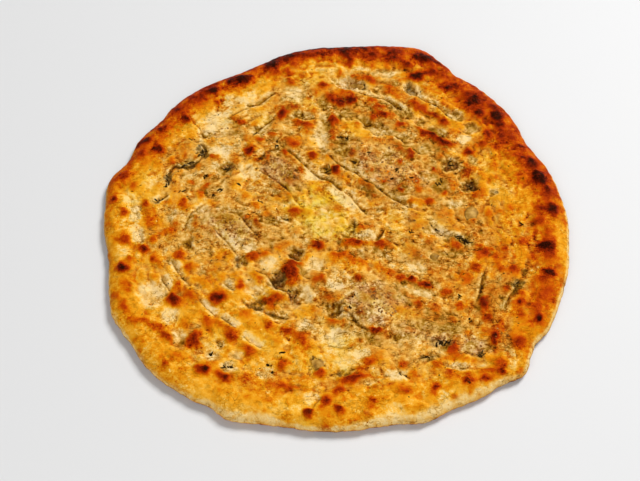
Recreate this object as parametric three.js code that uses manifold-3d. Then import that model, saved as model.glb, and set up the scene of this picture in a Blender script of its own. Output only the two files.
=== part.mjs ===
// Stuffed naan: one large round flatbread, baked on a tandoor wall, with a soft thick edge, pressed
// finger furrows, mounds where the stuffing lifts the dough, and bits of stuffing that break through.
// Millimetres, +Z up. The origin is the middle of the flat underside, +Y points to the far edge.
import * as THREE from "three";
import { mergeVertices } from "three/addons/utils/BufferGeometryUtils.js";
import Module from "manifold-3d";

const wasm = await Module();
wasm.setup();

// Driving dimensions
const BREAD_WIDTH = 315; // along X, edge to edge
const BREAD_DEPTH = 302; // along Y, edge to edge
const CORE_HEIGHT = 8.6; // top of the dough between the furrows
const EDGE_BULGE_HEIGHT = 3.6; // height of the outermost line of the edge
const EDGE_ROUND = 8; // how far in the edge's round top reaches
const UNDER_TUCK = 6; // how far in the underside first touches the table
const RIM_RISE = 1.5; // how much the browned rim stands above the core
const RIM_CREST = 12; // distance of the rim's crest from the edge
const RIM_SPREAD = 9; // how far the rim's rise fades on each side of its crest
const RELIEF_START = 5; // the relief fades in from here, measured inwards from the edge
const RELIEF_FULL = 18;
const INSIDE_RIM = 40; // from here inwards the rim adds nothing

// Mesh fineness
const EDGE_POINTS = 196;
const RING_STEP = 4.7; // distance between rings of the top, and about that between their points
const EDGE_ROWS = 4; // rows of faces above the outermost line
const TUCK_ROWS = 2; // rows of faces below it
const OUTLINE_SAMPLES = 800; // points that measure the drawn outline
const FURROW_STEPS = 12; // straight pieces of a furrow's centre line
const ONION_SIDES = 10;
const ONION_ROWS = 6;

// The outline seen from above, going round from the right. A smooth closed curve runs through it.
const OUTLINE = [
  [158, 4], [149, 40], [137, 60], [130, 79], [117, 99], [80, 134], [67, 146], [43, 150], [2, 149],
  [-19, 147], [-40, 140], [-66, 126], [-94, 112], [-111, 99], [-138, 64], [-144, 47], [-156, 30],
  [-157, 10], [-156, -9], [-151, -30], [-145, -72], [-132, -91], [-117, -112], [-93, -129], [-67, -144],
  [-42, -147], [-14, -151], [10, -151], [34, -147], [60, -145], [81, -134], [118, -117], [125, -101],
  [138, -82], [153, -45], [157, -23],
];

// Furrows pressed into the dough: from, to, sideways bow, depth and half width.
const FURROWS = {
  farRightFold: { from: [36, 117], to: [92, 75], bow: 3, depth: 2.4, half: 4.0 },
  farFold: { from: [-8, 117], to: [47, 91], bow: 2.5, depth: 2.0, half: 4.0 },
  foldAboveTheLargeMound: { from: [2, 91], to: [71, 45], bow: 0, depth: 1.7, half: 4.0 },
  foldBelowTheLargeMound: { from: [-12, 59], to: [72, -7], bow: -2, depth: 2.3, half: 3.6 },
  longMiddleFold: { from: [-44, 57], to: [30, -13], bow: 6, depth: 2.5, half: 3.6 },
  foldLeftOfTheMiddle: { from: [-56, 45], to: [-14, -1], bow: 3, depth: 1.9, half: 3.6 },
  innerLeftFold: { from: [-68, 5], to: [-44, -21], bow: 0, depth: 1.6, half: 3.6 },
  outerLeftFold: { from: [-88, -1], to: [-62, -31], bow: 0, depth: 1.6, half: 3.6 },
  nearLeftFingerRow: { from: [-112, -31], to: [-46, -95], bow: -5, depth: 2.3, half: 4.2 },
  nearLeftShortFold: { from: [-116, -47], to: [-94, -67], bow: -2, depth: 2.2, half: 3.8 },
  nearLeftPaleHollow: { from: [-124, -53], to: [-94, -93], bow: -3, depth: 2.0, half: 8.0 },
  leftFingerRow: { from: [-137, 9], to: [-128, -15], bow: 1, depth: 1.8, half: 4.0 },
  foldUnderTheNearMound: { from: [-4, -65], to: [35, -84], bow: -4, depth: 2.6, half: 4.0 },
  nearMiddleFold: { from: [-62, -61], to: [-24, -65], bow: -8, depth: 2.2, half: 4.0 },
  rightSlot: { from: [98, -35], to: [89, -64], bow: 2, depth: 2.2, half: 3.4 },
  rightRimHollow: { from: [120, -41], to: [104, -70], bow: 1, depth: 2.2, half: 4.4 },
  nearRightFold: { from: [50, -104], to: [106, -111], bow: -4, depth: 1.8, half: 4.0 },
  foldAcrossTheLeft: { from: [-54, 46], to: [-101, 21], bow: 2, depth: 1.8, half: 3.8 },
  tearBesideTheLeftRim: { from: [-94, 69], to: [-122, 15], bow: 4, depth: 2.3, half: 3.8 },
  farLeftFold: { from: [-78, 81], to: [-30, 113], bow: 0, depth: 1.7, half: 4.4 },
  farLeftRimCrease: { from: [-111, 94], to: [-94, 69], bow: 2, depth: 1.5, half: 3.4 },
  farMiddleHollow: { from: [-12, 59], to: [-8, 95], bow: 2, depth: 1.9, half: 5.0 },
};

// Mounds of stuffing under the dough (rise above 0) and pressed hollows (rise below 0): half sizes and turn.
const SWELLS = {
  largeMound: { at: [36, 41], half: [38, 20], turn: -33, rise: 1.5 },
  moundLeftOfTheMiddle: { at: [-38, 37], half: [21, 12], turn: -42, rise: 1.3 },
  leftMound: { at: [-72, -7], half: [28, 17], turn: -30, rise: 1.6 },
  nearMound: { at: [25, -62], half: [31, 16], turn: -20, rise: 1.8 },
  middleMound: { at: [-4, 3], half: [22, 16], turn: -42, rise: 1.2 },
  knobBesideThePit: { at: [-30, -41], half: [8, 10], turn: 15, rise: 2.4 },
  nearRidge: { at: [-41, -60], half: [15, 6], turn: 12, rise: 2.0 },
  middleKnob: { at: [15, -19], half: [13, 6], turn: -10, rise: 1.6 },
  deepPit: { at: [-39, -46], half: [8, 9], turn: -35, rise: -3.2 },
  nearPit: { at: [-54, -64], half: [8, 7], turn: 0, rise: -2.2 },
  pitBehindTheNearRidge: { at: [-24, -57], half: [8, 8], turn: 0, rise: -2.0 },
  pitAtTheNearMound: { at: [-2, -67], half: [7, 7], turn: 0, rise: -2.0 },
  farPit: { at: [12, 116], half: [11, 6], turn: -12, rise: -1.8 },
  farRightPit: { at: [55, 112], half: [6, 8], turn: 20, rise: -2.0 },
  rightBubblePit: { at: [80, 44], half: [7, 7], turn: 0, rise: -1.8 },
  smallRightBubblePit: { at: [93, 27], half: [6, 6], turn: 0, rise: -1.6 },
};

const SWELL_FADE = [0.35, 1.15]; // a swell is full up to the first share of its size, gone at the second

// Oven blisters all over the crust, spread along a sunflower spiral and varied by a seeded draw.
const BLISTERS = { count: 130, radius: [5, 8.5], rise: [0.5, 1.3], stray: 0.5, seed: 41 };

// Herb leaves that break through the dough, as flat chips half sunk in it: place, length and turn.
const HERB_CHIP = { width: 0.6, thickness: 2.4, lift: 0.1 };
const HERBS = [
  { at: [-100, 65], length: 4, turn: 20 },
  { at: [-92, 55], length: 8, turn: 70 },
  { at: [-106, 43], length: 7, turn: 15 },
  { at: [-89, 35], length: 5, turn: 60 },
  { at: [-74, 41], length: 9, turn: 10 },
  { at: [-117, 27], length: 6, turn: 70 },
  { at: [-104, 22], length: 5, turn: 10 },
  { at: [-121, 16], length: 6, turn: 35 },
  { at: [-80, 22], length: 5, turn: 55 },
  { at: [80, 44], length: 7, turn: 60 },
  { at: [93, 27], length: 6, turn: 0 },
  { at: [85, -15], length: 9, turn: -25 },
  { at: [80, -57], length: 6, turn: -65 },
  { at: [69, -91], length: 9, turn: 15 },
  { at: [89, -99], length: 6, turn: 25 },
  { at: [-34, -98], length: 4, turn: -30 },
  { at: [-41, -110], length: 5, turn: 10 },
  { at: [-70, -107], length: 6, turn: -15 },
  { at: [117, -51], length: 7, turn: 60 },
  { at: [41, -113], length: 5, turn: -25 },
];

// Soft onion pieces under the skin that show as low rounded pads.
const ONION_PAD = { width: 0.8, thickness: 3.0, lift: 0.1 };
const ONIONS = [
  { at: [93, 4], length: 9, turn: 70 },
  { at: [-12, -104], length: 12, turn: 10 },
  { at: [65, -29], length: 8, turn: 30 },
  { at: [15, 117], length: 12, turn: -15 },
];

const clamp01 = (v) => Math.min(1, Math.max(0, v));
const smooth = (from, to, v) => {
  const t = clamp01((v - from) / (to - from));
  return t * t * (3 - 2 * t);
};
const bell = (v) => Math.exp(-v * v);
const radians = THREE.MathUtils.degToRad;

// A repeatable draw between 0 and 1.
function seededDraw(seed) {
  let state = seed;
  const MODULUS = 2147483647;
  const MULTIPLIER = 16807;
  return () => {
    state = (state * MULTIPLIER) % MODULUS;
    return state / MODULUS;
  };
}

// The outline curve, fitted to the bread's width and depth about the origin.
function outlineCurve() {
  const box = new THREE.Box2();
  const drawn = new THREE.CatmullRomCurve3(OUTLINE.map(([x, y]) => new THREE.Vector3(x, y, 0)), true);
  for (const p of drawn.getPoints(OUTLINE_SAMPLES)) box.expandByPoint(new THREE.Vector2(p.x, p.y));
  const middle = box.getCenter(new THREE.Vector2());
  const size = box.getSize(new THREE.Vector2());
  const fitted = OUTLINE.map(([x, y]) => {
    const across = ((x - middle.x) * BREAD_WIDTH) / size.x;
    const away = ((y - middle.y) * BREAD_DEPTH) / size.y;
    return new THREE.Vector3(across, away, 0);
  });
  return new THREE.CatmullRomCurve3(fitted, true);
}

// A furrow's centre line as a row of points in the plan.
function furrowLine({ from, to, bow }) {
  const start = new THREE.Vector2(...from);
  const end = new THREE.Vector2(...to);
  const along = end.clone().sub(start);
  const side = new THREE.Vector2(-along.y, along.x).normalize();
  const control = start.clone().add(end).multiplyScalar(0.5).addScaledVector(side, 2 * bow);
  return new THREE.QuadraticBezierCurve(start, control, end).getPoints(FURROW_STEPS);
}

// Distance in the plan from a point to a row of points joined by straight lines.
function distanceToLine(x, y, line) {
  let nearest = Infinity;
  for (let i = 1; i < line.length; i++) {
    const a = line[i - 1];
    const dx = line[i].x - a.x;
    const dy = line[i].y - a.y;
    const t = clamp01(((x - a.x) * dx + (y - a.y) * dy) / (dx * dx + dy * dy));
    nearest = Math.min(nearest, Math.hypot(x - a.x - t * dx, y - a.y - t * dy));
  }
  return nearest;
}

// How far a point lies out in a turned ellipse: 0 in the middle, 1 on its line.
function ellipseReach(x, y, { at, half, turn }) {
  const c = Math.cos(radians(turn));
  const s = Math.sin(radians(turn));
  const dx = x - at[0];
  const dy = y - at[1];
  return Math.hypot((dx * c + dy * s) / half[0], (dy * c - dx * s) / half[1]);
}

// Blisters of varied size on a sunflower spiral that fills the bread evenly.
function blisterSpots() {
  const GOLDEN_TURN = Math.PI * (3 - Math.sqrt(5));
  const draw = seededDraw(BLISTERS.seed);
  const between = ([low, high]) => low + (high - low) * draw();
  return Array.from({ length: BLISTERS.count }, (_, i) => {
    const out = Math.sqrt((i + draw()) / BLISTERS.count);
    const turn = i * GOLDEN_TURN + BLISTERS.stray * draw();
    return {
      x: (out * BREAD_WIDTH * Math.cos(turn)) / 2,
      y: (out * BREAD_DEPTH * Math.sin(turn)) / 2,
      radius: between(BLISTERS.radius),
      rise: between(BLISTERS.rise),
    };
  });
}

const furrows = Object.values(FURROWS).map((furrow) => ({ ...furrow, line: furrowLine(furrow) }));
const blisters = blisterSpots();

// Relief of the top: furrows go down, swells and blisters up.
function relief(x, y) {
  let z = 0;
  for (const { line, depth, half } of furrows) {
    z -= depth * bell(distanceToLine(x, y, line) / half);
  }
  for (const swell of Object.values(SWELLS)) {
    z += swell.rise * (1 - smooth(...SWELL_FADE, ellipseReach(x, y, swell)));
  }
  for (const spot of blisters) {
    z += spot.rise * bell(Math.hypot(x - spot.x, y - spot.y) / spot.radius);
  }
  return z;
}

// Height of the top at a plan point that lies a given distance in from the edge.
function topHeight(x, y, inset) {
  const rim = RIM_RISE * bell((inset - RIM_CREST) / RIM_SPREAD);
  return CORE_HEIGHT + rim + relief(x, y) * smooth(RELIEF_START, RELIEF_FULL, inset);
}

// Triangles between two closed rings of points that go round the same way, whatever their counts.
function stitch(faces, outer, inner) {
  let i = 0;
  let k = 0;
  const lastInner = inner.length === 1 ? 0 : inner.length;
  while (i < outer.length || k < lastInner) {
    const outerNext = (i + 1) / outer.length;
    const innerNext = (k + 1) / inner.length;
    const innerPoint = inner[k % inner.length];
    if (k === lastInner || (i < outer.length && outerNext <= innerNext)) {
      faces.push(outer[i % outer.length], outer[(i + 1) % outer.length], innerPoint);
      i++;
    } else {
      faces.push(outer[i % outer.length], inner[(k + 1) % inner.length], innerPoint);
      k++;
    }
  }
}

// The bread as rings: flat underside, tucked and bulging edge, then the top in to its middle.
function breadGeometry() {
  const curve = outlineCurve();
  const points = [];
  const faces = [];
  const ring = (count, place) => {
    const first = points.length;
    for (let i = 0; i < count; i++) points.push(place(curve.getPointAt(i / count)));
    return Array.from({ length: count }, (_, i) => first + i);
  };
  const insetBy = (p, inset) => p.clone().multiplyScalar(1 - inset / p.length());

  const underMiddle = points.push(new THREE.Vector3(0, 0, 0)) - 1;
  const rings = [ring(EDGE_POINTS, (p) => insetBy(p, UNDER_TUCK))];
  for (let row = 1; row <= TUCK_ROWS; row++) {
    const angle = ((row / TUCK_ROWS) * Math.PI) / 2;
    rings.push(ring(EDGE_POINTS, (p) => {
      const q = insetBy(p, UNDER_TUCK * (1 - Math.sin(angle)));
      return q.setZ(EDGE_BULGE_HEIGHT * (1 - Math.cos(angle)));
    }));
  }
  for (let row = 1; row <= EDGE_ROWS; row++) {
    const angle = ((row / EDGE_ROWS) * Math.PI) / 2;
    rings.push(ring(EDGE_POINTS, (p) => {
      const inset = EDGE_ROUND * (1 - Math.cos(angle));
      const q = insetBy(p, inset);
      const top = topHeight(q.x, q.y, inset);
      return q.setZ(EDGE_BULGE_HEIGHT + (top - EDGE_BULGE_HEIGHT) * Math.sin(angle));
    }));
  }
  const meanRadius = (BREAD_WIDTH + BREAD_DEPTH) / 4;
  const topRings = Math.round((meanRadius - EDGE_ROUND) / RING_STEP);
  for (let i = 1; i <= topRings; i++) {
    const share = 1 - i / topRings;
    const count = Math.max(1, Math.round(share * EDGE_POINTS));
    rings.push(ring(count, (p) => {
      const inset = p.length() - share * (p.length() - EDGE_ROUND);
      const q = insetBy(p, inset);
      return q.setZ(topHeight(q.x, q.y, inset));
    }));
  }
  stitch(faces, [...rings[0]].reverse(), [underMiddle]);
  for (let i = 1; i < rings.length; i++) stitch(faces, rings[i - 1], rings[i]);

  const geometry = new THREE.BufferGeometry().setFromPoints(points);
  geometry.setIndex(faces);
  return geometry;
}

// A closed geometry as a solid for joining.
function solidOf(geometry) {
  const bare = geometry.clone();
  bare.deleteAttribute("normal");
  bare.deleteAttribute("uv");
  const merged = mergeVertices(bare);
  return new wasm.Manifold(
    new wasm.Mesh({
      numProp: 3,
      vertProperties: merged.attributes.position.array,
      triVerts: new Uint32Array(merged.index.array),
    }),
  );
}

// A solid back as a geometry.
function geometryOf(solid) {
  const mesh = solid.getMesh();
  const geometry = new THREE.BufferGeometry();
  geometry.setAttribute("position", new THREE.BufferAttribute(new Float32Array(mesh.vertProperties), 3));
  geometry.setIndex(new THREE.BufferAttribute(mesh.triVerts, 1));
  geometry.computeVertexNormals();
  return geometry;
}

// A bit of stuffing as a squashed ball that lies in the top of the bread.
function stuffingBit(ball, { at, length, turn }, { width, thickness, lift }) {
  const z = topHeight(at[0], at[1], INSIDE_RIM) + lift;
  const placed = new THREE.Matrix4().compose(
    new THREE.Vector3(at[0], at[1], z),
    new THREE.Quaternion().setFromAxisAngle(new THREE.Vector3(0, 0, 1), radians(turn)),
    new THREE.Vector3(length / 2, (length * width) / 2, thickness / 2),
  );
  return solidOf(ball.clone().applyMatrix4(placed));
}

const herbBall = new THREE.IcosahedronGeometry(1, 0);
const onionBall = new THREE.SphereGeometry(1, ONION_SIDES, ONION_ROWS).rotateX(Math.PI / 2);
const bits = [
  ...HERBS.map((spot) => stuffingBit(herbBall, spot, HERB_CHIP)),
  ...ONIONS.map((spot) => stuffingBit(onionBall, spot, ONION_PAD)),
];
const breadSolid = bits.reduce((bread, bit) => bread.add(bit), solidOf(breadGeometry()));

const crust = new THREE.MeshStandardMaterial({ color: 0xd29a48, roughness: 0.68, metalness: 0 });
const naan = new THREE.Mesh(geometryOf(breadSolid), crust);
naan.name = "naan";

const stuffedNaan = new THREE.Group();
stuffedNaan.add(naan);

export default stuffedNaan;
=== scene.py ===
"""Dresses the stuffed naan: baked bread with folds, blisters and filling, and its herb, onion and mince.

Plan places and sizes are in millimetres in the part's own frame, x to the right and y away from the viewer.
"""

import logging
import math
from collections.abc import Iterator
from dataclasses import dataclass
from enum import Enum
from functools import cached_property, reduce

import bpy
import numpy as np
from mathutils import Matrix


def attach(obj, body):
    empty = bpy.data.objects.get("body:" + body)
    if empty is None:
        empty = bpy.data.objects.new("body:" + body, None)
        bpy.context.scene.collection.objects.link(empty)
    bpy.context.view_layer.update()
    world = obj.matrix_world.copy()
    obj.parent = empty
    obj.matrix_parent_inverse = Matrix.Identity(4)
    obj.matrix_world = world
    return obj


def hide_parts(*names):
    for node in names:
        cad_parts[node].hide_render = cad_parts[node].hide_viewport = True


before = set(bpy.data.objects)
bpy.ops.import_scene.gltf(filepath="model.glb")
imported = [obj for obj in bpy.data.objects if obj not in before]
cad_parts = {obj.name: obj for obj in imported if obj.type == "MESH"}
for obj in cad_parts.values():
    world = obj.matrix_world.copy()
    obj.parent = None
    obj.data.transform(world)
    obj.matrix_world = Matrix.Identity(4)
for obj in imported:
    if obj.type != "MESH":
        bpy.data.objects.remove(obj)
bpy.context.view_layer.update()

LOG = logging.getLogger("naan")
MM = 0.001
WHOLE_TURN = 2 * math.pi
TURN_DEGREES = 360
BODY = "root"

Field = np.ndarray
Pair = tuple[float, float]
Place = tuple[float, float, float]
Piece = bpy.types.Object
Socket = bpy.types.NodeSocket
Value = Socket | float | tuple[float, ...]
Stops = tuple[tuple[float, tuple[int, int, int]], ...]


class Layer(Enum):
    """Named values that the bread's mesh carries for its material."""

    BAKE = "bake"
    THIN = "thin"
    BUTTER = "butter"
    # Painted shade of the pits, with the herb stains
    PIT_SHADE_AND_STAIN = "pit_shade_and_stain"
    FOLD = "fold"
    LINE = "line"
    WALL = "wall"
    MINCE = "mince"


class Slot(Enum):
    """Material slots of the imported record."""

    CRUST = "crust"
    HERB = "herb"
    ONION = "onion"
    FILLING = "filling"


# Small tools


def smooth(low: float, high: float, value: Field) -> Field:
    """Eases from 0 at low to 1 at high."""
    t = np.clip((value - low) / (high - low), 0, 1)
    return t * t * (3 - 2 * t)


def bell(value: Field) -> Field:
    """A bell curve that is 1 at zero and about a third at one."""
    return np.exp(-value * value)


def around(rows: tuple[tuple[float, ...], ...], angle: Field) -> list[Field]:
    """Reads each column of a table by the angle round the bread in degrees, which is its first column."""
    angles, *columns = np.array(rows, float).T
    return [np.interp(angle, angles, column, period=TURN_DEGREES) for column in columns]


def linear(*screen: int) -> tuple[float, ...]:
    """The linear colour that a shader takes for a screen colour of 0 to 255, by the usual screen curve."""
    parts = (value / 255 for value in screen)
    return *(part / 12.92 if part <= 0.04045 else ((part + 0.055) / 1.055) ** 2.4 for part in parts), 1


def place_mesh(name: str, mesh: bpy.types.Mesh) -> Piece:
    """Puts a mesh in the scene at the origin.

    Args:
        name: Name of the piece.
        mesh: Its mesh.

    Returns:
        The piece.
    """
    made = bpy.data.objects.new(name, mesh)
    bpy.context.scene.collection.objects.link(made)
    return made


@dataclass
class Grain:
    """A smooth random field over the plan, the same for the same seed, in lumps of a size in millimetres."""

    seed: int
    cell: float

    SIDE = 256
    GAIN = 1.5
    OCTAVES = 2
    SHIFT_X = 31.7
    SHIFT_Y = -17.3
    FADE = 0.5

    def __post_init__(self) -> None:
        """Draws the slopes of the field."""
        turn = np.random.default_rng(self.seed).uniform(0, WHOLE_TURN, (self.SIDE, self.SIDE))
        self.slope_x, self.slope_y = np.cos(turn), np.sin(turn)

    def _octave(self, u: Field, v: Field) -> Field:
        """One layer of lumps of size 1.

        Args:
            u: First coordinate.
            v: Second coordinate.

        Returns:
            The field at those places.
        """
        i = np.floor(u).astype(int)
        j = np.floor(v).astype(int)

        def corner(a: int, b: int) -> Field:
            """The slope of one lattice corner, carried to the places."""
            at = ((i + a) % self.SIDE, (j + b) % self.SIDE)
            return self.slope_x[at] * (u - i - a) + self.slope_y[at] * (v - j - b)

        across = smooth(0, 1, u - i)
        away = smooth(0, 1, v - j)
        near = corner(0, 0) * (1 - across) + corner(1, 0) * across
        far = corner(0, 1) * (1 - across) + corner(1, 1) * across
        return self.GAIN * (near * (1 - away) + far * away)

    def at(self, x: Field, y: Field) -> Field:
        """Gives the field at places on the plan.

        Args:
            x: Millimetres to the right.
            y: Millimetres away.

        Returns:
            Values of about -1 to 1.
        """
        total = np.zeros_like(x)
        for octave in range(self.OCTAVES):
            rate = 2**octave / self.cell
            lumps = self._octave(x * rate + self.SHIFT_X * octave, y * rate + self.SHIFT_Y * octave)
            total += lumps * self.FADE**octave
        return total


# Marks on the bread


@dataclass(frozen=True)
class Oval:
    """A turned oval on the plan, with how much of something it marks."""

    x: float
    y: float
    length: float
    width: float
    amount: float
    turn: float = 0

    ROOM = 1.25

    def reach(self, x: Field, y: Field) -> Field:
        """How far plan places lie out in the oval: 0 in the middle and 1 on its line."""
        off = (x - self.x + 1j * (y - self.y)) * np.exp(-1j * math.radians(self.turn))
        return np.hypot(off.real / (self.length / 2), off.imag / (self.width / 2))

    def corners(self) -> tuple[Field, Field]:
        """Corners of the stretch of plan that the oval can reach."""
        room = self.ROOM * max(self.length, self.width)
        return np.array((self.x, self.y)) - room, np.array((self.x, self.y)) + room


def ovals(*rows: tuple[float, ...], parts: int = 100) -> tuple[Oval, ...]:
    """Ovals from rows of plan place, length, width, amount in parts of a whole, and any turn in degrees."""
    return tuple(Oval(*row[:4], row[4] / parts, *row[5:]) for row in rows)


@dataclass(frozen=True)
class Fold:
    """A fold in the dough along given points, with a raised lip on one side and a hollow on the other.

    The lip is above 0 where it is on the left of the line and below 0 where it is on the right.
    """

    lip: float
    depth: float
    fold_line_shade: float
    floor: float
    points: tuple[Pair, ...]

    STEPS = 5
    END_FADE = 0.16
    ROOM = 13
    STEP_HALF = 0.7
    LIP_LENGTH = 5
    HOLLOW_LENGTH = 2.6
    FLOOR_AT = -2.6
    FLOOR_HALF = 2.2

    def line(self) -> Field:
        """Draws the fold's smooth line through its points.

        Returns:
            Plan points close together, one a row.
        """
        knots = np.array(self.points, float)
        ends = np.vstack([2 * knots[0] - knots[1], knots, 2 * knots[-1] - knots[-2]])
        rows = []
        for a, b, c, d in zip(ends, ends[1:], ends[2:], ends[3:]):
            for t in np.arange(self.STEPS) / self.STEPS:
                bend = (2 * a - 5 * b + 4 * c - d) * t**2 + (3 * b - a - 3 * c + d) * t**3
                rows.append(0.5 * (2 * b + (c - a) * t + bend))
        return np.vstack([rows, knots[-1]])

    def corners(self) -> tuple[Field, Field]:
        """Corners of the stretch of plan that the fold can reach."""
        knots = np.array(self.points)
        return knots.min(0) - self.ROOM, knots.max(0) + self.ROOM

    def measure(self, x: Field, y: Field) -> tuple[Field, Field]:
        """Measures places against the fold's line.

        Args:
            x: Millimetres to the right.
            y: Millimetres away.

        Returns:
            The distance to the line, positive on the lip's side, and a share that fades to 0 at the ends.
        """
        line = self.line()
        nearest = np.full(x.shape, np.inf)
        signed = np.zeros(x.shape)
        share = np.zeros(x.shape)
        for k, ((ax, ay), (bx, by)) in enumerate(zip(line, line[1:])):
            dx, dy = bx - ax, by - ay
            t = np.clip(((x - ax) * dx + (y - ay) * dy) / (dx * dx + dy * dy), 0, 1)
            away = np.hypot(x - ax - t * dx, y - ay - t * dy)
            closer = away < nearest
            side = np.where(dx * (y - ay) - dy * (x - ax) >= 0, 1, -1) * math.copysign(1, self.lip)
            nearest = np.where(closer, away, nearest)
            signed = np.where(closer, away * side, signed)
            share = np.where(closer, (k + t) / (len(line) - 1), share)
        fade = smooth(0, self.END_FADE, share) * smooth(0, self.END_FADE, 1 - share)
        return signed, fade

    def rise(self, signed: Field) -> Field:
        """Height of the fold's section, from the distance to its line.

        Args:
            signed: Distance to the line, positive on the lip's side.

        Returns:
            Millimetres above the dough around it.
        """
        on_lip = smooth(-self.STEP_HALF, self.STEP_HALF, signed)
        lip = abs(self.lip) * np.exp(-np.maximum(signed, 0) / self.LIP_LENGTH)
        hollow = self.depth * np.exp(np.minimum(signed, 0) / self.HOLLOW_LENGTH)
        return on_lip * lip - (1 - on_lip) * hollow

    def grey(self, signed: Field) -> Field:
        """How grey and pale the hollow's floor is, from the distance to the line."""
        return self.floor * bell((signed - self.FLOOR_AT) / self.FLOOR_HALF)


def folds(*rows: tuple) -> tuple[Fold, ...]:
    """Folds from rows of lip, depth, strength of the painted shade along the line, floor and plan points."""
    return tuple(Fold(*row[:4], row[4:]) for row in rows)


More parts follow.
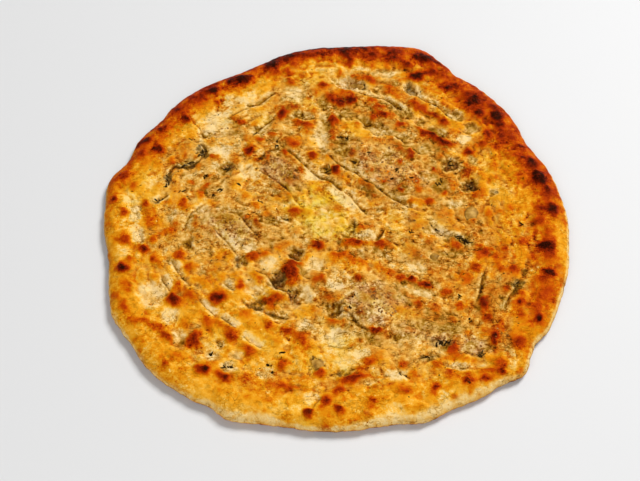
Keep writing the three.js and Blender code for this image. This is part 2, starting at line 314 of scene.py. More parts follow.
# Spots that the oven browned, from a faint tone at 5 to char at 85
BROWNED = ovals(
    # far left rim and shoulder
    (-67, 115, 14, 10, 78, 20), (-45, 131, 11, 7, 72, 35), (-36, 138, 12, 5, 45, 32), (-32, 123, 6, 5, 42),
    (-31, 113, 5, 4, 42), (-98, 101, 26, 8, 22, 32), (-106, 81, 10, 5, 50, -40), (-111, 89, 7, 6, 50, 45),
    (-123, 55, 9, 10, 62, 70), (-133, 62, 6, 7, 62, 60), (-122, 71, 7, 6, 40), (-134, 51, 7, 7, 35),
    (-144, 32, 11, 13, 28, 60), (-151, 14, 6, 7, 35), (-112, 57, 6, 5, 16), (-105, 49, 6, 5, 18),
    # far middle
    (-38, 86, 7, 11, 58), (-67, 79, 7, 6, 42), (-21, 77, 12, 7, 36, -15), (-27, 80, 6, 6, 20),
    (-60, 55, 7, 9, 42), (-44, 69, 6, 5, 45), (-52, 63, 6, 4, 40, 35), (-35, 52, 7, 5, 42, -30),
    (-15, 50, 7, 6, 50, -40), (-47, 49, 5, 4, 35, 40), (-20, 67, 10, 9, 14), (-28, 63, 9, 8, 14),
    (-8, 111, 6, 6, 42), (5, 99, 20, 16, 25), (3, 98, 7, 8, 52, 60), (12, 99, 7, 8, 52),
    (27, 116, 10, 6, 40, -20), (40, 111, 12, 6, 30, -30), (29, 85, 11, 7, 28), (36, 85, 7, 5, 36, 20),
    (-1, 80, 7, 9, 45), (46, 75, 7, 4, 36), (1, 38, 6, 8, 50, 30), (21, 19, 10, 7, 16, -10),
    # far rim
    (9, 143, 9, 7, 50), (-4, 146, 10, 5, 40), (28, 139, 9, 7, 40), (12, 130, 5, 8, 36), (39, 126, 5, 8, 28),
    (3, 124, 5, 8, 28), (63, 137, 12, 10, 85), (74, 134, 10, 6, 48, -40), (60, 119, 17, 8, 60, 10),
    (71, 123, 9, 6, 45, 20), (-20, 138, 14, 6, 30, 10), (42, 135, 7, 6, 28), (50, 127, 8, 6, 20),
    # far right shoulder
    (98, 95, 12, 12, 62, 30), (101, 100, 6, 8, 42), (117, 75, 8, 5, 52, 15), (108, 67, 5, 9, 48),
    (103, 60, 7, 6, 34), (93, 52, 8, 6, 42, 15), (114, 56, 7, 6, 34), (87, 110, 10, 7, 32, -20),
    (78, 108, 7, 6, 26), (135, 45, 9, 10, 40), (140, 31, 14, 12, 82, -20), (129, 55, 7, 8, 30),
    (146, 5, 10, 9, 55), (137, 6, 6, 6, 34), (63, 90, 9, 6, 40, -30), (70, 85, 7, 5, 36, -40),
    (76, 79, 6, 5, 42), (62, 70, 10, 5, 40, -40), (69, 66, 8, 5, 36, -40), (76, 61, 9, 8, 46),
    (64, 12, 8, 6, 40, 10), (50, 12, 4, 4, 26), (110, 41, 5, 8, 24), (119, 8, 6, 6, 22), (111, 4, 6, 5, 22),
    (75, 19, 4, 5, 40), (52, 47, 5, 6, 30), (46, 43, 4, 4, 28), (45, 21, 5, 4, 28), (68, 37, 4, 4, 28),
    # left
    (-86, 50, 6, 5, 34), (-95, 41, 7, 6, 26), (-89, 24, 6, 6, 38, 30), (-91, 19, 6, 6, 34),
    (-100, 28, 6, 6, 26), (-103, 10, 6, 8, 38, -20), (-115, 12, 6, 5, 24), (-130, 10, 6, 6, 32),
    (-143, 2, 6, 8, 30), (-127, -1, 8, 16, 24, 15), (-37, 15, 11, 10, 20), (-26, 3, 12, 9, 22),
    (-47, 2, 7, 6, 26), (-83, 10, 7, 6, 20), (-95, -1, 5, 4, 38), (-60, -1, 7, 5, 42), (-53, -3, 4, 6, 30),
    (-128, -25, 7, 8, 52, -20), (-140, -40, 8, 7, 50), (-136, -34, 6, 6, 34), (-121, -31, 6, 5, 36, -30),
    (-118, -36, 9, 5, 24, -40), (-141, -18, 7, 9, 28), (-117, -14, 9, 5, 22, 20),
    (-103, -29, 9, 8, 34, -30), (-97, -39, 8, 9, 28, -30), (-75, -30, 9, 7, 14), (-52, -30, 19, 7, 34, 20),
    # near left
    (-63, -52, 7, 8, 56), (-76, -60, 14, 9, 42, 10), (-77, -64, 8, 9, 40), (-84, -48, 20, 8, 14),
    (-105, -64, 13, 6, 55, -38), (-103, -54, 8, 7, 24), (-97, -59, 8, 7, 24), (-82, -79, 14, 9, 28, -30),
    (-90, -91, 8, 11, 50, -15), (-67, -90, 7, 8, 48), (-56, -100, 6, 6, 34), (-84, -112, 9, 7, 50, 20),
    (-94, -112, 5, 4, 26), (-70, -117, 11, 6, 54, -25), (-108, -89, 8, 5, 40, -35),
    (-116, -82, 14, 5, 36, -25), (-128, -78, 12, 6, 26, -10), (-136, -69, 6, 10, 34, 30),
    (-143, -60, 5, 8, 30, 20), (-124, -98, 5, 4, 30), (-107, -108, 5, 4, 32), (-100, -102, 8, 6, 24, 30),
    (-58, -72, 10, 6, 26, -20), (-30, -43, 10, 15, 40, 15), (-41, -63, 18, 5, 42, 10), (-43, -82, 6, 6, 36),
    (-31, -85, 9, 6, 28, -30), (-23, -91, 7, 6, 26, -35), (-34, -108, 7, 7, 40), (-32, -123, 24, 5, 26, -4),
    (-37, -127, 5, 4, 22), (-39, -133, 8, 4, 14), (-17, -142, 7, 7, 46), (-10, -114, 6, 4, 40),
    (-11, -48, 10, 8, 30, 10), (-12, -22, 10, 7, 50),
    # near middle and near right
    (12, -21, 15, 7, 44, 5), (30, -22, 9, 7, 42), (2, -29, 12, 6, 32), (14, -33, 16, 6, 32, -15),
    (32, -41, 20, 5, 26, -18), (42, -48, 7, 5, 42, -10), (50, -49, 7, 5, 44, -10), (59, -52, 8, 5, 52, -20),
    (15, -48, 5, 5, 32), (24, -58, 5, 6, 34), (53, -67, 7, 7, 28), (64, -75, 7, 7, 20),
    (71, -58, 9, 6, 30, -10), (80, -67, 5, 8, 36, -20), (92, -39, 7, 7, 40), (85, -47, 9, 8, 28, -50),
    (99, -27, 7, 9, 46), (105, -30, 6, 5, 34), (116, -40, 6, 7, 44), (108, -40, 6, 5, 34),
    (140, -24, 12, 11, 62), (140, -43, 8, 7, 58), (135, -48, 6, 5, 32), (137, -3, 7, 6, 36),
    (125, -19, 8, 7, 26), (130, -30, 8, 7, 26), (95, -67, 5, 9, 50), (97, -76, 5, 5, 34),
    (120, -65, 7, 6, 32), (121, -57, 6, 6, 32), (129, -78, 6, 7, 46), (137, -61, 10, 16, 22, 20),
    (105, -82, 6, 10, 26, -10), (101, -91, 5, 7, 32), (83, -86, 6, 4, 28), (74, -99, 8, 9, 28, 20),
    (104, -113, 6, 6, 46), (95, -113, 14, 4, 34), (114, -113, 8, 6, 26, 20), (81, -120, 6, 7, 50),
    (93, -119, 10, 4, 34, 10), (63, -108, 8, 5, 32, -30), (71, -114, 9, 5, 32, -30),
    (42, -109, 6, 6, 28, -30), (48, -115, 6, 7, 26), (10, -118, 17, 5, 48, 12), (16, -111, 12, 5, 28, 15),
    (0, -126, 9, 4, 34), (-7, -134, 7, 6, 38), (1, -139, 7, 6, 42), (-6, -149, 5, 4, 32),
    (10, -145, 8, 3, 32), (22, -134, 12, 7, 24), (42, -127, 10, 4, 30, -10), (62, -125, 6, 5, 28),
    (72, -131, 7, 5, 16), (22, -106, 12, 7, 24, 10), (0, -78, 12, 7, 18, -20), (26, -85, 11, 4, 36),
    # smaller and darker cores seen close up
    (8, 139, 8, 9, 50), (38, 135, 6, 8, 42), (54, 129, 6, 7, 40), (70, 134, 8, 5, 55, -30),
    (78, 131, 10, 4, 50, -40), (63, 120, 12, 4, 50, 10), (5, 97, 5, 6, 50), (12, 97, 5, 6, 50),
    (36, 84, 8, 4, 42), (47, 76, 6, 5, 40, -20), (58, 93, 6, 4, 40, -40), (66, 87, 8, 4, 42, -30),
    (72, 84, 5, 4, 40, -30), (78, 78, 6, 4, 48, -20), (66, 68, 10, 4, 45, -40), (74, 63, 10, 5, 50, -30),
    (80, 59, 8, 5, 46, -20), (95, 51, 9, 4, 48, 10), (116, 65, 6, 9, 36), (137, 42, 7, 9, 50, 20),
    (145, 22, 4, 5, 50), (-62, 117, 10, 4, 60, 15), (-46, 129, 12, 5, 60, 30), (-33, 136, 14, 4, 50, 28),
    (-84, 95, 5, 5, 32), (-60, 53, 7, 8, 42, 60), (-52, 46, 7, 5, 36), (-124, 55, 6, 6, 50),
    (-106, 79, 7, 5, 45), (-145, 30, 10, 9, 30, 60), (-12, -23, 8, 5, 40), (-31, -44, 6, 9, 30, 10),
    (-26, -37, 10, 4, 36, -10), (1, 36, 5, 8, 45, 30), (18, 21, 14, 5, 10, -30), (147, 5, 7, 6, 45),
    (138, -24, 10, 7, 45), (138, -43, 6, 4, 50), (134, -11, 4, 7, 36), (112, -26, 6, 5, 36),
    (98, -28, 5, 6, 36), (-104, -62, 9, 4, 50, -35), (-76, -61, 8, 5, 48, 10), (-128, -24, 5, 5, 40),
    (-139, -41, 5, 4, 50), (-83, -112, 6, 4, 42), (-68, -118, 6, 4, 45, -20), (-89, -94, 7, 4, 36, -20),
    (-16, -141, 6, 5, 36), (60, -52, 8, 4, 50, -15), (46, -47, 12, 3, 42, -12), (25, -85, 9, 3, 45, 5),
    (12, -117, 12, 4, 48, 12), (2, -125, 6, 5, 36), (104, -113, 6, 5, 50), (92, -118, 8, 3, 48, 5),
    (100, -91, 4, 9, 40), (74, -96, 7, 7, 36, 30), (129, -77, 5, 5, 42), (61, -124, 6, 4, 26),
    (73, -131, 5, 4, 20), (-32, -84, 7, 4, 36, -20), (-23, -92, 6, 4, 36, -30), (-6, -133, 6, 5, 30),
    (1, -138, 6, 4, 40),
    # orange ridges of the far right
    (26, 97, 9, 6, 26), (33, 92, 9, 4, 26), (40, 105, 12, 6, 24, -20), (6, 75, 9, 6, 22),
    (15, 76, 8, 5, 22), (56, 95, 6, 6, 26), (83, 109, 9, 6, 24), (48, 132, 8, 6, 20), (23, 134, 9, 8, 28),
    (12, 133, 6, 7, 34),
    # faint wide tone
    (45, -73, 12, 9, 12, -20), (72, -104, 16, 10, 12, 10), (-98, -105, 9, 7, 15),
    (-124, -91, 12, 9, 10, -40), (-24, 15, 10, 10, 12, -40), (127, 7, 10, 14, 10),
    (-66, 106, 10, 8, 10, 30),
    # char on the far rim
    (65, 135, 9, 7, 70, -30),
    # more faint wide tone
    (41, -70, 14, 12, 10), (67, -105, 14, 8, 10, 10), (63, -5, 16, 12, 8, -20), (72, -12, 10, 8, 8),
    (93, 15, 12, 12, 8), (106, -35, 10, 12, 8), (117, -8, 10, 16, 8), (-49, -87, 12, 12, 10),
    (-75, 61, 12, 8, 10), (-43, 77, 12, 8, 10, 30), (-67, 106, 12, 8, 8, 30), (4, -105, 14, 8, 8),
    (-117, 31, 10, 10, 8), (13, 41, 10, 10, 6), (115, 57, 12, 12, 10), (138, 2, 8, 16, 12),
    (106, -34, 9, 9, 12), (116, -66, 8, 12, 12, -20), (-77, -56, 14, 8, 10, -40), (57, -103, 16, 8, 10, 10),
    (-124, 48, 10, 10, 10), (5, -34, 14, 10, 8), (-55, -80, 14, 8, 10, -30), (-118, -8, 14, 22, 6, 10),
    # small spots of the left rim, the middle and the right shoulder
    (-129, 9, 6, 7, 20), (-122, -4, 9, 9, 22), (-142, 3, 6, 8, 24), (-138, 23, 6, 6, 22),
    (-146, 23, 6, 6, 22), (-150, 13, 5, 6, 20), (-140, -19, 8, 7, 24), (-111, -11, 8, 6, 20),
    (-103, -29, 7, 8, 26), (-20, 99, 6, 6, 16), (-28, 92, 5, 5, 14), (-15, 88, 5, 5, 14),
    (-8, 89, 4, 4, 26), (-2, 64, 4, 4, 22), (16, -10, 5, 7, 24), (0, 143, 12, 6, 34), (121, 48, 6, 5, 26),
    (112, 46, 5, 5, 22), (118, 36, 6, 8, 20), (107, 31, 7, 6, 18), (124, 28, 6, 6, 20),
    # flecks on the mounds of filling
    (46, 43, 4, 4, 34), (52, 52, 4, 6, 32), (54, 47, 3, 3, 32), (68, 38, 3, 3, 50), (45, 20, 4, 4, 48),
    (44, 24, 4, 3, 32), (56, 21, 6, 6, 28), (32, 28, 6, 4, 30), (36, 35, 4, 4, 26), (26, 37, 3, 3, 32),
    (22, 35, 3, 3, 24), (45, 56, 6, 8, 22, 30), (13, 54, 4, 4, 22), (57, 28, 6, 6, 24), (52, 12, 5, 5, 22),
    (25, 19, 9, 5, 10), (18, 20, 6, 5, 10), (8, 28, 4, 6, 24), (-27, 60, 12, 8, 24), (-33, 30, 10, 8, 20),
    (-24, 37, 6, 6, 22), (-42, 17, 12, 14, 5), (-25, 4, 12, 8, 26), (-54, 9, 8, 4, 36, -30),
    (-48, 46, 6, 4, 30, 20),
)

# Furrows and sunken dough, grey and olive, darker partly by painted shade: the amount is how strong
KHAKI = ovals(
    (13, 37, 12, 7, 40, -40), (-71, 56, 9, 8, 30), (6, 114, 16, 6, 70, -5), (15, 114, 13, 8, 60, -15),
    (27, 107, 14, 5, 60, -25), (42, 113, 14, 6, 70, -15), (54, 108, 8, 11, 90, 40),
    (34, 98, 16, 6, 70, -20), (46, 90, 16, 8, 80, -40), (54, 85, 8, 8, 60, -40), (8, 84, 18, 6, 60, -12),
    (20, 80, 12, 6, 60, -30), (30, 73, 16, 7, 70, -20), (24, 76, 6, 6, 70), (46, 67, 14, 6, 50, -25),
    (60, 79, 6, 8, 70, 30), (71, 71, 12, 6, 70, -25), (77, 67, 8, 4, 60, -25), (82, 88, 10, 6, 60, -40),
    (88, 84, 10, 6, 50, -30), (95, 74, 9, 8, 60), (95, 46, 8, 8, 50, 40), (81, 43, 14, 12, 90),
    (93, 25, 12, 10, 90), (-9, 96, 8, 12, 70), (-6, 76, 7, 14, 25), (-49, -3, 14, 12, 30),
    (24, 18, 18, 10, 25, -30), (63, 29, 14, 12, 25), (63, 53, 10, 6, 50), (-50, 74, 14, 7, 80, 40),
    (-90, 68, 14, 7, 70, 10), (-77, 68, 12, 7, 60), (-68, 68, 9, 5, 50), (-55, 96, 16, 5, 60, 25),
    (-43, 104, 14, 5, 50, 20), (-22, 84, 14, 4, 50, -15), (-75, 39, 16, 10, 80, 15),
    (-104, 43, 16, 7, 60, 15), (-115, 32, 6, 14, 60, 10), (-121, 13, 8, 5, 70, 35),
    (-134, 5, 8, 12, 50, 10), (-130, -14, 7, 10, 40, 10), (-107, -37, 5, 14, 60, 25),
    (-112, -51, 5, 12, 60, 25), (-98, -21, 7, 9, 50), (-83, -66, 14, 6, 60, -40),
    (-69, -79, 14, 6, 60, -38), (-53, -95, 14, 6, 50, -35), (-69, -53, 12, 7, 70, -35),
    (-88, -42, 8, 6, 40), (-62, -34, 7, 9, 70), (-27, -28, 12, 9, 80), (-52, -66, 11, 8, 70),
    (-38, -50, 12, 11, 70, -35), (-37, -74, 18, 6, 60, -10), (-26, -62, 9, 13, 70),
    (-73, -95, 12, 6, 50, -35), (-90, -83, 12, 9, 40), (-100, -92, 9, 10, 50), (-64, -104, 14, 6, 50, -10),
    (-78, -103, 9, 9, 50), (-13, -108, 14, 9, 60), (5, -114, 20, 5, 80, 10), (0, -69, 14, 10, 90, 20),
    (14, -78, 16, 7, 30, -45), (10, -64, 10, 10, 60), (7, -12, 9, 10, 60), (15, -30, 14, 5, 50, -10),
    (44, -33, 26, 8, 40, -15), (70, -13, 16, 9, 70, -25), (85, -18, 14, 8, 80, -25),
    (80, -29, 26, 7, 35, -10), (94, -52, 6, 26, 50, -14), (116, -52, 9, 12, 80, -35),
    (108, -66, 6, 14, 70, -20), (109, -96, 6, 24, 50, -4), (67, -93, 16, 10, 45, 5),
    (88, -97, 20, 11, 70, 5), (88, -72, 12, 14, 30), (57, -104, 14, 5, 70, 8), (77, -110, 16, 5, 60),
    (34, -92, 30, 9, 40, -5), (54, -80, 26, 10, 35, -10), (75, -84, 16, 9, 40), (78, 9, 14, 5, 50, 10),
    (108, 19, 7, 6, 60), (72, 24, 12, 12, 50), (40, 14, 20, 5, 50, -25), (5, 62, 12, 9, 70),
    (-6, 38, 7, 9, 80, 20), (14, 43, 8, 7, 60), (-72, -4, 34, 22, 40, -35), (20, 121, 34, 5, 30),
    (36, 123, 10, 6, 40), (124, -41, 10, 6, 50, 50), (5, 52, 14, 10, 50), (36, 50, 8, 4, 60),
    (62, 56, 12, 7, 40), (45, 14, 8, 10, 50, 30), (68, 20, 8, 10, 40, 30), (44, -66, 16, 9, 50, -20),
    (34, 106, 14, 7, 50, -20), (-51, 47, 6, 5, 80), (-72, -8, 14, 8, 50), (-75, 5, 6, 5, 50),
    (-42, -4, 8, 6, 50), (-48, 36, 8, 8, 40),
)

# Dough that baked to an even gold
GOLD = ovals(
    (112, 33, 40, 34, 60, 60), (14, 73, 26, 10, 50, -25), (96, 109, 14, 8, 40, -48),
    (122, 80, 12, 8, 40, -55), (148, -29, 6, 14, 40), (131, -68, 8, 14, 40, -25), (38, -4, 18, 18, 45),
    (44, -34, 16, 10, 40, -20), (-118, -8, 16, 30, 30, 10), (122, -30, 10, 18, 70),
    (152, -22, 9, 40, 90, 5), (-52, 112, 18, 12, 80, 30), (-80, -128, 60, 16, 90, -32),
    (-110, -105, 40, 18, 80, -42), (-45, -138, 40, 14, 80, -10), (-128, 25, 20, 24, 50),
    (-150, -10, 10, 40, 60), (-60, -78, 30, 14, 50, -35), (-20, -97, 22, 12, 70, -20),
    (20, -132, 50, 14, 60), (45, -122, 30, 12, 40), (-20, -72, 16, 14, 60), (84, 76, 14, 12, 60, -40),
    (78, 101, 22, 8, 50, -35), (-50, -54, 20, 10, 50, -20), (128, 8, 16, 20, 50), (148, -10, 14, 16, 60),
    (-104, 71, 16, 10, 40), (26, 130, 40, 6, 30), (-72, -72, 80, 56, 40, -30), (60, -134, 34, 10, 60, 12),
    (0, -32, 40, 18, 30), (60, -10, 50, 14, 30, -30),
)

# Hollows and bare dough that stayed pale: the amount is how pale
PALE = ovals(
    (150, -40, 8, 16, 8, 5), (38, 52, 12, 10, 7), (8, -83, 10, 8, 10), (113, 91, 12, 14, 10, -50),
    (-125, 70, 14, 10, 8, 45), (-27, 84, 10, 8, 10), (-17, 112, 16, 8, 8), (-38, 20, 12, 10, 8),
    (-25, -11, 12, 14, 8), (-36, -54, 12, 12, 8), (19, 20, 12, 8, 8, -30), (71, -79, 12, 8, 8),
    (151, -30, 6, 24, 14, 8), (140, -72, 8, 16, 10, -20), (130, -92, 8, 12, 10, -30),
    (-84, 79, 26, 16, 22, 40), (-68, 101, 30, 12, 18, 30), (-33, 102, 24, 12, 18, 20),
    (-76, 57, 22, 16, 14), (-8, 72, 9, 36, 20, -4), (-120, -58, 17, 18, 30, -30),
    (-107, -74, 10, 14, 28, -30), (-100, -89, 10, 9, 22), (-55, -54, 18, 11, 26, -20),
    (-45, -37, 13, 10, 22), (-80, -103, 11, 7, 22), (-67, -110, 12, 6, 22, -10), (-62, -102, 10, 6, 20),
    (-45, -115, 11, 5, 24, -15), (-14, -37, 13, 10, 26), (-21, -81, 10, 9, 24), (-73, -94, 9, 6, 20),
    (-89, -81, 12, 10, 16), (21, -16, 12, 10, 26), (-1, -52, 12, 10, 26), (57, -58, 19, 6, 22, -12),
    (3, -89, 22, 12, 32), (-130, 25, 12, 10, 16), (-144, 13, 10, 10, 10), (-124, 29, 14, 8, 14, 20),
    (-142, -28, 10, 12, 10), (-123, 13, 10, 8, 10), (-111, 0, 9, 10, 10), (-142, 31, 10, 8, 10),
    (40, -138, 24, 8, 10, 8), (70, -129, 26, 8, 12, 20), (118, 45, 14, 14, 7), (20, -20, 24, 16, 7),
    (0, -134, 24, 10, 5), (16, -101, 12, 7, 20), (3, -107, 13, 9, 18), (36, -115, 16, 7, 24, -10),
    (22, -120, 10, 5, 22), (53, -40, 13, 7, 18), (62, 106, 4, 10, 30, 10), (86, 85, 12, 7, 24, -20),
    (97, 73, 10, 8, 22), (76, 70, 10, 6, 22, -10), (32, 75, 10, 6, 22, -20), (96, 48, 7, 10, 20, 10),
    (90, 63, 9, 7, 20), (109, 20, 8, 6, 20), (82, 11, 14, 8, 18), (68, -11, 18, 12, 20, -10),
    (75, -110, 16, 5, 20), (111, -106, 6, 16, 20, -5), (9, 125, 30, 10, 18), (38, 122, 20, 6, 14, -4),
    (-133, 4, 6, 12, 22, 10), (-131, -14, 6, 12, 22, 10), (54, 110, 7, 12, 24, 20),
    (11, 114, 20, 9, 22, -10), (-18, -58, 11, 11, 24), (-17, 33, 10, 10, 20, -40), (5, 13, 26, 8, 28, -42),
    (-57, -25, 9, 5, 26, 20), (20, 131, 5, 12, 14), (-98, 35, 16, 8, 12, 20), (-14, -130, 14, 6, 16, 20),
    (-58, 35, 16, 9, 18, -40), (64, 30, 10, 10, 12), (62, 55, 8, 6, 16), (92, 65, 8, 6, 26),
    (-80, 54, 14, 8, 20), (-83, 41, 6, 10, 20, 30), (-15, 68, 12, 12, 20), (-30, -137, 26, 8, 14, -8),
    (-35, 10, 8, 6, 14), (-65, -20, 10, 7, 14),
)

# Dough baked more or less over a wider stretch
ZONES = ovals(
    (112, 17, 80, 190, 5), (95, 102, 70, 60, 5, -45), (0, -125, 230, 30, 4), (20, 92, 130, 60, 2, -20),
    (38, 40, 80, 44, 5, -33), (-38, 37, 40, 24, 3, -42), (95, -60, 80, 100, 5), (64, -12, 40, 26, 3),
    (-112, -100, 80, 40, -3, -42), (-146, 0, 26, 130, -5), (-30, -138, 130, 24, -6, -3),
    (60, -130, 70, 20, -9, 15),
)

# Mince that shows through thin dough, where the patches are greyer and lumpy
THIN = ovals(
    (36, 40, 70, 38, 62, -33), (-38, 37, 38, 20, 85, -42), (-72, -9, 52, 28, 62, -28),
    (24, -65, 52, 30, 90, -22), (64, -89, 56, 16, 45, -8), (-78, 69, 26, 12, 40, 30),
    (55, -3, 46, 14, 40, -35), (88, -97, 22, 12, 55), (52, -33, 34, 14, 35, -10), (-38, -49, 11, 12, 90),
    (-28, -61, 10, 14, 70), (-74, 39, 12, 8, 75, 10), (81, 43, 12, 13, 70), (93, 25, 10, 9, 70),
    (12, 114, 20, 8, 55, -12), (-48, 69, 10, 12, 45, -30), (-64, -35, 5, 9, 60), (-27, -28, 9, 11, 50),
    (68, -93, 13, 8, 70), (105, -88, 14, 24, 35),
)

# Dough that stays thick and golden: it hides the filling
THICK = ovals(
    (-60, -85, 100, 44, 38, -25), (43, -74, 30, 16, 25, -20), (-12, -104, 46, 22, 18),
    (117, -8, 24, 30, 25), (61, -3, 22, 18, 22), (-51, 80, 16, 10, 20, 30), (5, -112, 30, 12, 15),
)

# Damp yellow dough over the softest filling
BUTTER = ovals(
    (-10, 3, 38, 34, 100, -42), (-14, 17, 10, 24, 45, 5), (3, -95, 26, 18, 45), (-14, -107, 14, 14, 60),
    (3, -114, 10, 8, 50), (10, -11, 16, 12, 40), (-4, -6, 22, 16, 70, -30), (12, 74, 24, 14, 30, -25),
    (40, -6, 22, 20, 30), (-130, 15, 26, 36, 25), (-22, 94, 30, 14, 25, 10), (106, 36, 28, 30, 25),
    (-15, 116, 40, 12, 30, 5), (-70, 83, 26, 16, 20, 35), (-33, 13, 24, 20, 25, -40),
    (-69, -8, 30, 22, 20, -30), (-41, -61, 22, 14, 30), (77, 80, 24, 16, 25, -35), (47, -24, 16, 16, 25),
    (24, -64, 16, 14, 20), (-4, -80, 16, 12, 25), (-56, -121, 22, 14, 30, -15), (-23, -135, 30, 10, 20),
    (61, -3, 20, 16, 25), (117, -8, 16, 20, 25), (-48, -90, 26, 16, 25, -20), (43, -73, 18, 12, 25, -20),
    (-78, -92, 18, 14, 20), (6, -110, 18, 10, 20), (-51, 80, 14, 10, 30, 30), (-21, -148, 24, 6, 30),
)

# Mounds of filling and pressed pits: the amount is the rise in tenths of a millimetre
SWELLS = ovals(
    (37, 39, 84, 44, 15, -33), (-38, 34, 44, 25, 13, -42), (-72, -10, 58, 35, 15, -30),
    (25, -65, 64, 34, 17, -20), (-4, 0, 46, 34, 12, -42), (-30, -44, 14, 18, 22, 15),
    (-41, -63, 26, 10, 17, 10), (14, -22, 22, 10, 15), (22, -11, 13, 12, 14), (30, -21, 12, 9, 10),
    (-38, -49, 13, 14, -28, -35), (-52, -66, 10, 8, -24), (-24, -60, 12, 12, -22), (-1, -70, 9, 11, -24),
    (12, 113, 20, 9, -19, -12), (55, 109, 9, 14, -20, 20), (81, 42, 12, 12, -17), (93, 25, 10, 10, -16),
    (86, 85, 12, 7, -13, -30), (97, 73, 10, 8, -13), (-8, 72, 9, 38, -15, -4),
    (-118, -59, 18, 22, -12, -30), (-54, -54, 18, 10, -12, -20), (32, 75, 10, 6, -12, -20),
    (68, -11, 16, 9, -11, -20), (-27, -28, 9, 10, -14), (-14, -37, 13, 10, -9), (-21, -81, 10, 9, -9),
    (-92, 53, 8, 10, -16),
    parts=10,
)
